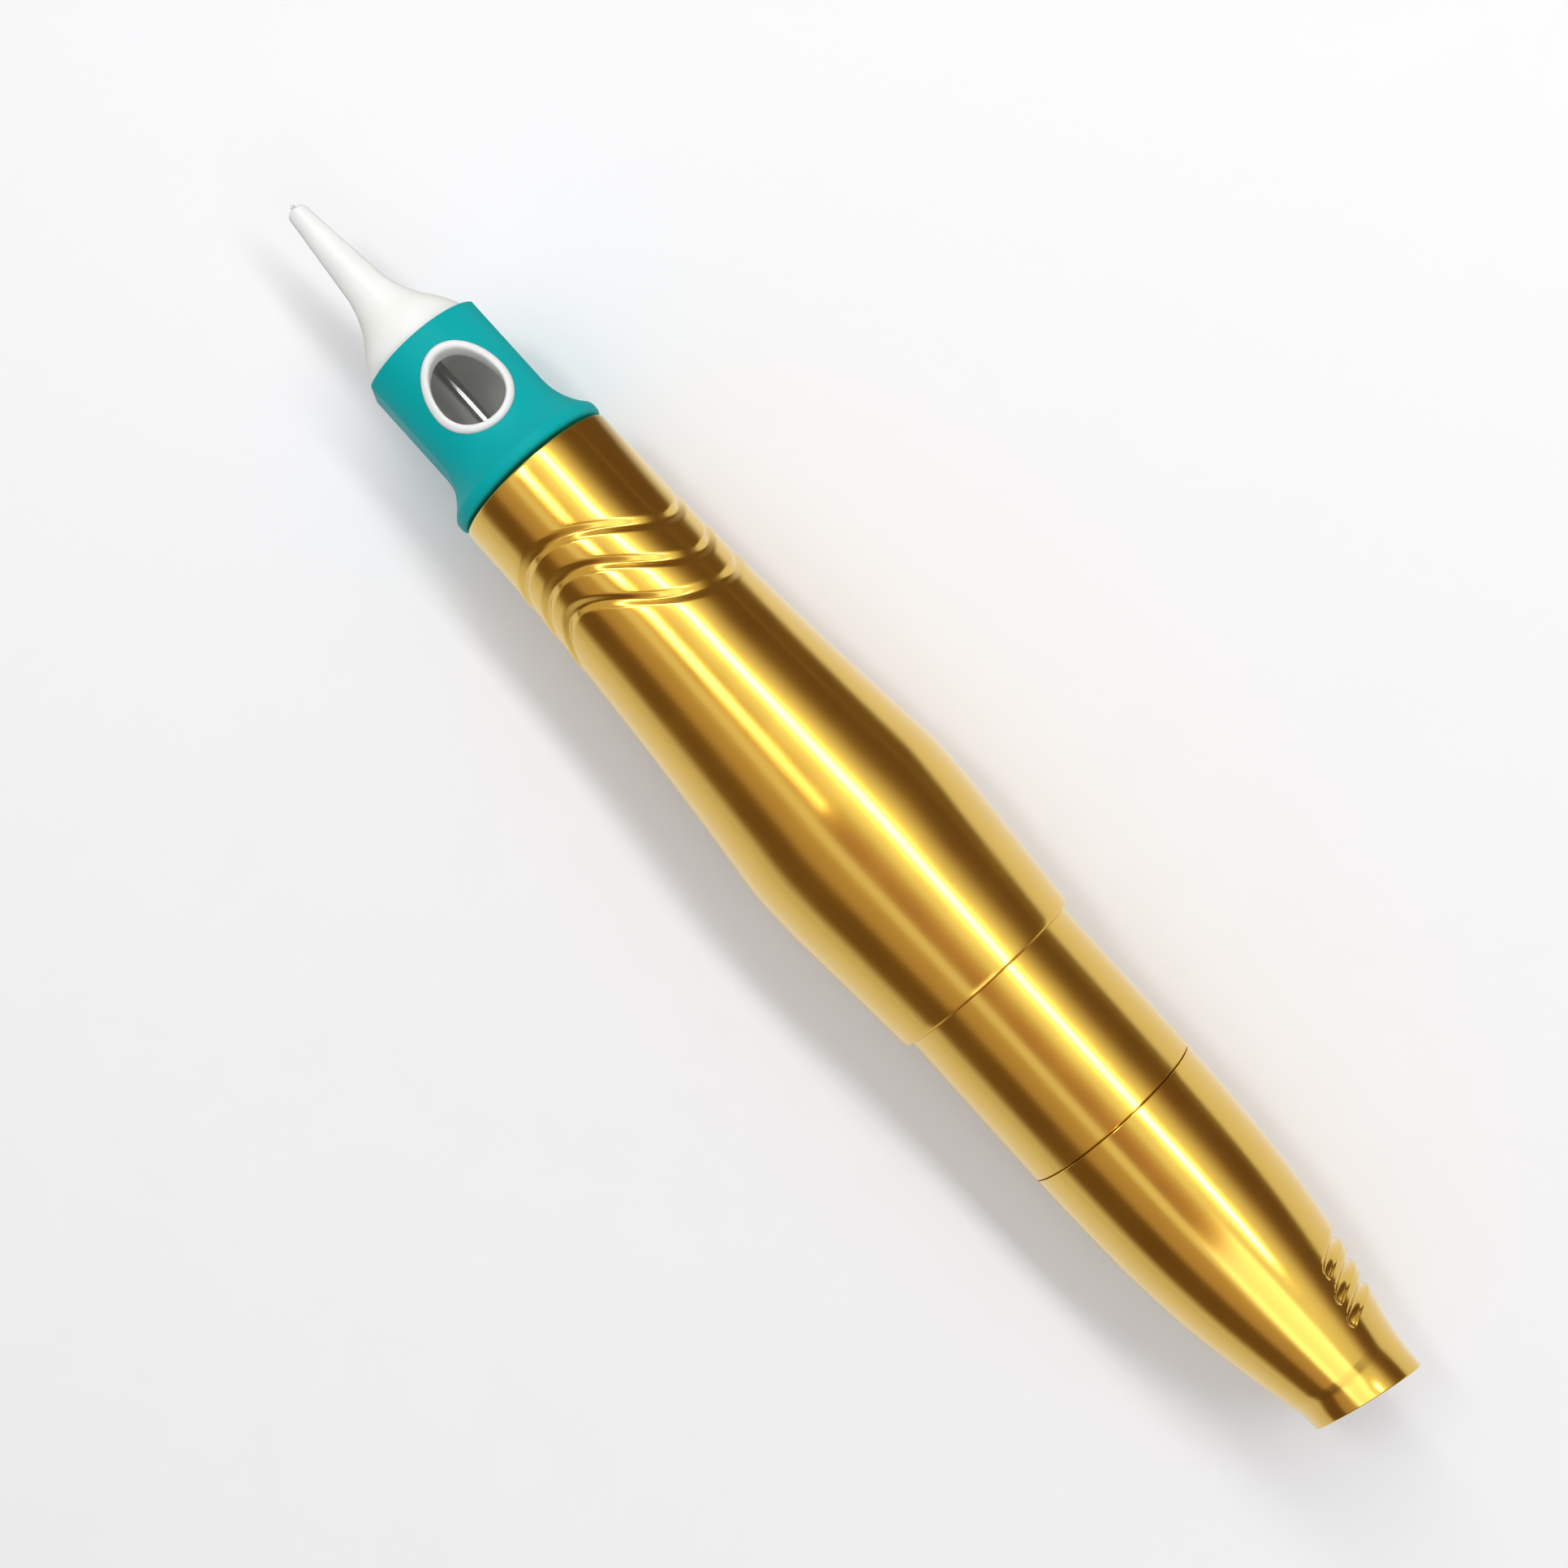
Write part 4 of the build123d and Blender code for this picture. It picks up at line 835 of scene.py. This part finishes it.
class StudioSizes(bpy.types.PropertyGroup):
    """Where the camera stands, in metres, and how bright the lamps are."""

    camera_place: setting(
        FloatVectorProperty, "Camera", "Place of the camera", (0.00454, 0.01862, 0.21854), subtype="XYZ", unit="LENGTH"
    )
    camera_target: setting(
        FloatVectorProperty, "Target", "Picture's middle", (-0.00366, -0.00198, 0.0105), subtype="XYZ", unit="LENGTH"
    )
    camera_right: setting(
        FloatVectorProperty, "Right", "Direction of the picture's right side", (0.6707, 0.7417, 0.0), subtype="XYZ"
    )
    lens: setting(FloatProperty, "Lens", "Focal length on a 36 mm sensor", 54.85)
    lamp_level: setting(FloatProperty, "Lamp level", "Brightness of all the lamps", 1.0)


# The camera's sensor in millimetres, and from where to where it sees, in metres
SENSOR_WIDTH = 36.0
CAMERA_CLIP = (0.01, 10.0)
# The soft lamps: place and size in metres, and how many times as bright as white they look
LAMPS = {
    "window_lamp": ((-0.17, 0.3, 0.53), (1.3, 0.07), 10.0),
    "front_lamp": ((-0.23, -0.03, 0.51), (0.17, 0.065), 12.0),
    "rear_lamp": ((0.43, -0.03, 0.51), (0.36, 0.36), 1.4),
}


# The stage


def make_camera(studio):
    """The camera at the photograph's place, turned so that the pen runs from upper left to lower right."""
    camera = bpy.data.cameras.new("camera")
    camera.lens = studio.lens
    camera.sensor_width = SENSOR_WIDTH
    camera.clip_start, camera.clip_end = CAMERA_CLIP
    place = Vector(studio.camera_place)
    back = (place - Vector(studio.camera_target)).normalized()
    up = back.cross(Vector(studio.camera_right)).normalized()
    right = up.cross(back)
    bpy.context.scene.camera = new_object("camera", camera, place, (right, up, back))


def make_lamp(name, place, size, radiance):
    """A rectangular soft lamp that looks at the pen's middle, its width along X, of power radiance x pi x area."""
    lamp = bpy.data.lights.new(name, "AREA")
    lamp.shape = "RECTANGLE"
    lamp.size, lamp.size_y = size
    lamp.energy = radiance * math.pi * size[0] * size[1]
    back = Vector(place).normalized()
    right = (Vector((1.0, 0.0, 0.0)) - back * back.x).normalized()
    new_object(name, lamp, place, (right, back.cross(right), back))


# What metal mirrors of the room, by the turn round the pen's axis in degrees from straight up towards +Y: a pale
# strip along both horizons, brown walls, and lighter bands above
ROOM_BANDS = (
    (-90, "#D8D4D0"),
    (-86, "#C8BEB8"),
    (-80, "#6F553F"),
    (-54, "#6F553F"),
    (-47, "#C0A48C"),
    (-28, "#C8AE98"),
    (-25.5, "#FAF8F0"),
    (-17.5, "#FAF8F0"),
    (-14.5, "#B48A80"),
    (-6, "#B48A80"),
    (0, "#C69C8E"),
    (7, "#D8C2A8"),
    (12, "#FFFFF4"),
    (24, "#FFFFF4"),
    (44, "#F2ECE0"),
    (50, "#D8D0C8"),
    (57, "#AC9489"),
    (65, "#7A5F50"),
    (80, "#6A503E"),
    (88, "#6F553F"),
    (90, "#A09080"),
)
# What metal mirrors of the room's two ends, by the angle of the view with the plane across the pen in degrees: pale
# towards the needle, -X, and brown towards the tail. The last number says how much of it covers the bands.
ROOM_ENDS = (
    (-90, "#D2C4AC", 1.0),
    (-52, "#D2C4AC", 1.0),
    (-44, "#D2C4AC", 0.0),
    (44, "#5A4432", 0.0),
    (47, "#5A4432", 0.85),
    (90, "#6F553F", 0.85),
)
# The even light of the room, as a share of white, and what the camera sees behind the table's edge
ROOM_LEVEL = 0.46
BACKDROP = "#EDEDEF"
# Half the table's side, and where its top starts and ends to fade into the backdrop, in metres
TABLE_HALF = 3.0
TABLE_FADE = (0.2, 0.6)
# Painted shade on the table's side towards +Y, which only metal mirrors: the walls' brown past the slanted line
# y = start + slope x, in metres, and how far on both sides of the line it sets in
MIRRORED_TABLE_SHADE = "#6F553F"
MIRRORED_SHADE_START = 0.068
MIRRORED_SHADE_SLOPE = 1.3
MIRRORED_SHADE_BLEND = 0.008


def make_world():
    """A plain room: even soft light, long bands in what metal mirrors, and a pale backdrop for the camera.

    A band lies at the arctangent of the direction's Y over its Z, and an end at the arcsine of its X.
    """
    world = bpy.data.worlds.new("room")
    bpy.context.scene.world = world
    node = empty_nodes(world)
    place = node("TexCoord").outputs["Generated"]
    axes = node("SeparateXYZ", vector=place).outputs
    span = {"From Min": -math.pi / 2, "From Max": math.pi / 2}
    shades = []
    for measure, measured, stops in (
        ("ARCTAN2", (axes["Y"], axes["Z"]), [(*stop, 1.0) for stop in ROOM_BANDS]),
        ("ARCSINE", axes["X"], ROOM_ENDS),
    ):
        turn = node("Math", {"operation": measure}, value=measured)
        shade = node("ValToRGB", fac=node("MapRange", span, value=turn))
        ramp_stops(shade, [((angle + 90) / 180, (*hex_colour(code)[:3], cover)) for angle, code, cover in stops])
        shades.append(shade.outputs)
    lines, ends = shades
    mirrored = node("MixRGB", fac=ends["Alpha"], color1=lines["Color"], color2=ends["Color"])
    seen = node("Background", {"Color": hex_colour("#FFFFFF"), "Strength": ROOM_LEVEL})
    bands = node("Background", color=mirrored)
    backdrop = node("Background", {"Color": hex_colour(BACKDROP)})
    rays = node("LightPath").outputs
    for ray, background in (("Is Glossy Ray", bands), ("Is Camera Ray", backdrop)):
        seen = node("MixShader", fac=rays[ray], shader=(seen, background))
    node("OutputWorld", surface=seen)


def make_table(colours):
    """A wide pale table top, which fades into the backdrop far from the pen for the camera and in what metal mirrors.

    The share of backdrop grows from 0 to 1 over TABLE_FADE metres from the origin. Metal mirrors painted shade, a flat
    brown, instead of the top where y - slope x lies past MIRRORED_SHADE_START.
    """
    half = TABLE_HALF
    mesh = bpy.data.meshes.new("table")
    mesh.from_pydata([(-half, -half, 0), (half, -half, 0), (half, half, 0), (-half, half, 0)], [], [(0, 1, 2, 3)])
    table = new_object("table", mesh)
    material = finish_material("laminate_table", colours.table, roughness=0.5, ior=1.5, mottle=0.004)
    node = partial(add_node, material)
    output = next(n for n in material.node_tree.nodes if n.type == "OUTPUT_MATERIAL")
    top = output.inputs["Surface"].links[0].from_socket
    place = node("TexCoord").outputs["Object"]
    rays = node("LightPath").outputs
    camera, glossy = rays["Is Camera Ray"], rays["Is Glossy Ray"]
    distance = node("VectorMath", {"operation": "LENGTH"}, vector=place).outputs["Value"]
    span = {"interpolation_type": "SMOOTHSTEP", "From Min": TABLE_FADE[0], "From Max": TABLE_FADE[1]}
    far = node("MapRange", span, value=distance)
    seen = node("Math", {"operation": "MAXIMUM"}, value=(camera, glossy))
    share = node("Math", {"operation": "MULTIPLY"}, value=(seen, far))
    backdrop = node("Emission", {"Color": hex_colour(BACKDROP)})
    blend = node("MixShader", fac=share, shader=(top, backdrop))
    # Painted shade: past a slanted line towards +Y, metal mirrors a flat brown emission instead of the table top
    across = node("VectorMath", {"operation": "DOT_PRODUCT"}, vector=place)
    across.inputs[1].default_value = (-MIRRORED_SHADE_SLOPE, 1.0, 0.0)
    edges = {"From Min": MIRRORED_SHADE_START - MIRRORED_SHADE_BLEND, "From Max": MIRRORED_SHADE_START + MIRRORED_SHADE_BLEND}
    past = node("MapRange", edges, value=across.outputs["Value"])
    dark = node("Math", {"operation": "MULTIPLY"}, value=(glossy, past))
    mirrored_shade = node("Emission", {"Color": hex_colour(MIRRORED_TABLE_SHADE)})
    join(output, surface=node("MixShader", fac=dark, shader=(blend, mirrored_shade)))
    mesh.materials.append(material)


# Operators, one for each group of pieces


# What stands in for which piece: its maker, the body that it rides on, its node and its slot
BODY_SKINS = {
    "grip_skin": (grip_skin, "grip", "grip_shell", "gold_shell"),
    "tail_skin": (tail_skin, "barrel", "tail_cap", "gold_shell"),
}
CARTRIDGE_SKINS = {
    "sleeve_skin": (sleeve_skin, "cartridge", "cartridge_sleeve", "teal_plastic"),
    "nose_skin": (nose_skin, "cartridge", "cartridge_housing", "white_plastic"),
    "rim_skin": (rim_skin, "cartridge", "cartridge_housing", "white_plastic"),
}


def make_skins(skins, settings):
    """Makes each skin of a table from the settings."""
    sizes = in_millimetres(settings)
    for name, (maker, body, node, slot) in skins.items():
        new_piece(name, *maker(sizes), body, node, slot)


class PEN_OT_body(bpy.types.Operator):
    """Makes the grip and the tail with their grooves, scoops and rounded edges"""

    bl_idname = "pen.body"
    bl_label = "Make the body's skins"

    def execute(self, context):
        make_skins(BODY_SKINS, context.scene.pen_sizes)
        return {"FINISHED"}


class PEN_OT_cartridge(bpy.types.Operator):
    """Makes the cartridge's nose, window rim and sleeve"""

    bl_idname = "pen.cartridge"
    bl_label = "Make the cartridge's skins"

    def execute(self, context):
        make_skins(CARTRIDGE_SKINS, context.scene.pen_sizes)
        return {"FINISHED"}


class PEN_OT_finishes(bpy.types.Operator):
    """Gives each piece its finish"""

    bl_idname = "pen.finishes"
    bl_label = "Finish the pieces"

    def execute(self, context):
        skins = {**BODY_SKINS, **CARTRIDGE_SKINS}
        for finish, (nodes, settings) in FINISHES.items():
            colour = getattr(context.scene.pen_colours, settings["colour"], settings["colour"])
            material = finish_material(finish, **{**settings, "colour": colour})
            pieces = [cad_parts[node] for node in nodes]
            pieces += [bpy.data.objects[name] for name, (_, _, node, _) in skins.items() if node in nodes]
            for piece in pieces:
                piece.data.materials.clear()
                piece.data.materials.append(material)
        return {"FINISHED"}


class PEN_OT_stage(bpy.types.Operator):
    """Makes the table, the lamps, the room and the camera"""

    bl_idname = "pen.stage"
    bl_label = "Set the stage"

    def execute(self, context):
        studio = context.scene.pen_studio
        make_table(context.scene.pen_colours)
        make_camera(studio)
        for name, (place, size, radiance) in LAMPS.items():
            make_lamp(name, place, size, radiance * studio.lamp_level)
        make_world()
        context.scene.view_settings.view_transform = "Standard"
        return {"FINISHED"}


class PEN_PT_panel(bpy.types.Panel):
    """Lists the pen's settings and steps"""

    bl_idname = "PEN_PT_panel"
    bl_label = "Tattoo pen"
    bl_space_type = "VIEW_3D"
    bl_region_type = "UI"
    bl_category = "Tattoo pen"

    def draw(self, context):
        for pointer, group in GROUPS.items():
            box = self.layout.box()
            for name in group.__annotations__:
                box.prop(getattr(context.scene, pointer), name)
        for operator in STEPS:
            self.layout.operator(operator.bl_idname)


STEPS = (PEN_OT_body, PEN_OT_cartridge, PEN_OT_finishes, PEN_OT_stage)
GROUPS = {"pen_sizes": PenSizes, "pen_colours": PenColours, "pen_studio": StudioSizes}
CLASSES = (*GROUPS.values(), *STEPS, PEN_PT_panel)


def register():
    """Registers the classes and gives the scene its settings."""
    for cls in CLASSES:
        bpy.utils.register_class(cls)
    for name, group in GROUPS.items():
        setattr(bpy.types.Scene, name, PointerProperty(type=group))


def unregister():
    """Takes the settings and the classes away again."""
    for name in GROUPS:
        delattr(bpy.types.Scene, name)
    for cls in reversed(CLASSES):
        bpy.utils.unregister_class(cls)


def main():
    """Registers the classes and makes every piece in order."""
    register()
    bpy.ops.pen.body()
    bpy.ops.pen.cartridge()
    bpy.ops.pen.finishes()
    bpy.ops.pen.stage()


if __name__ == "__main__":
    main()
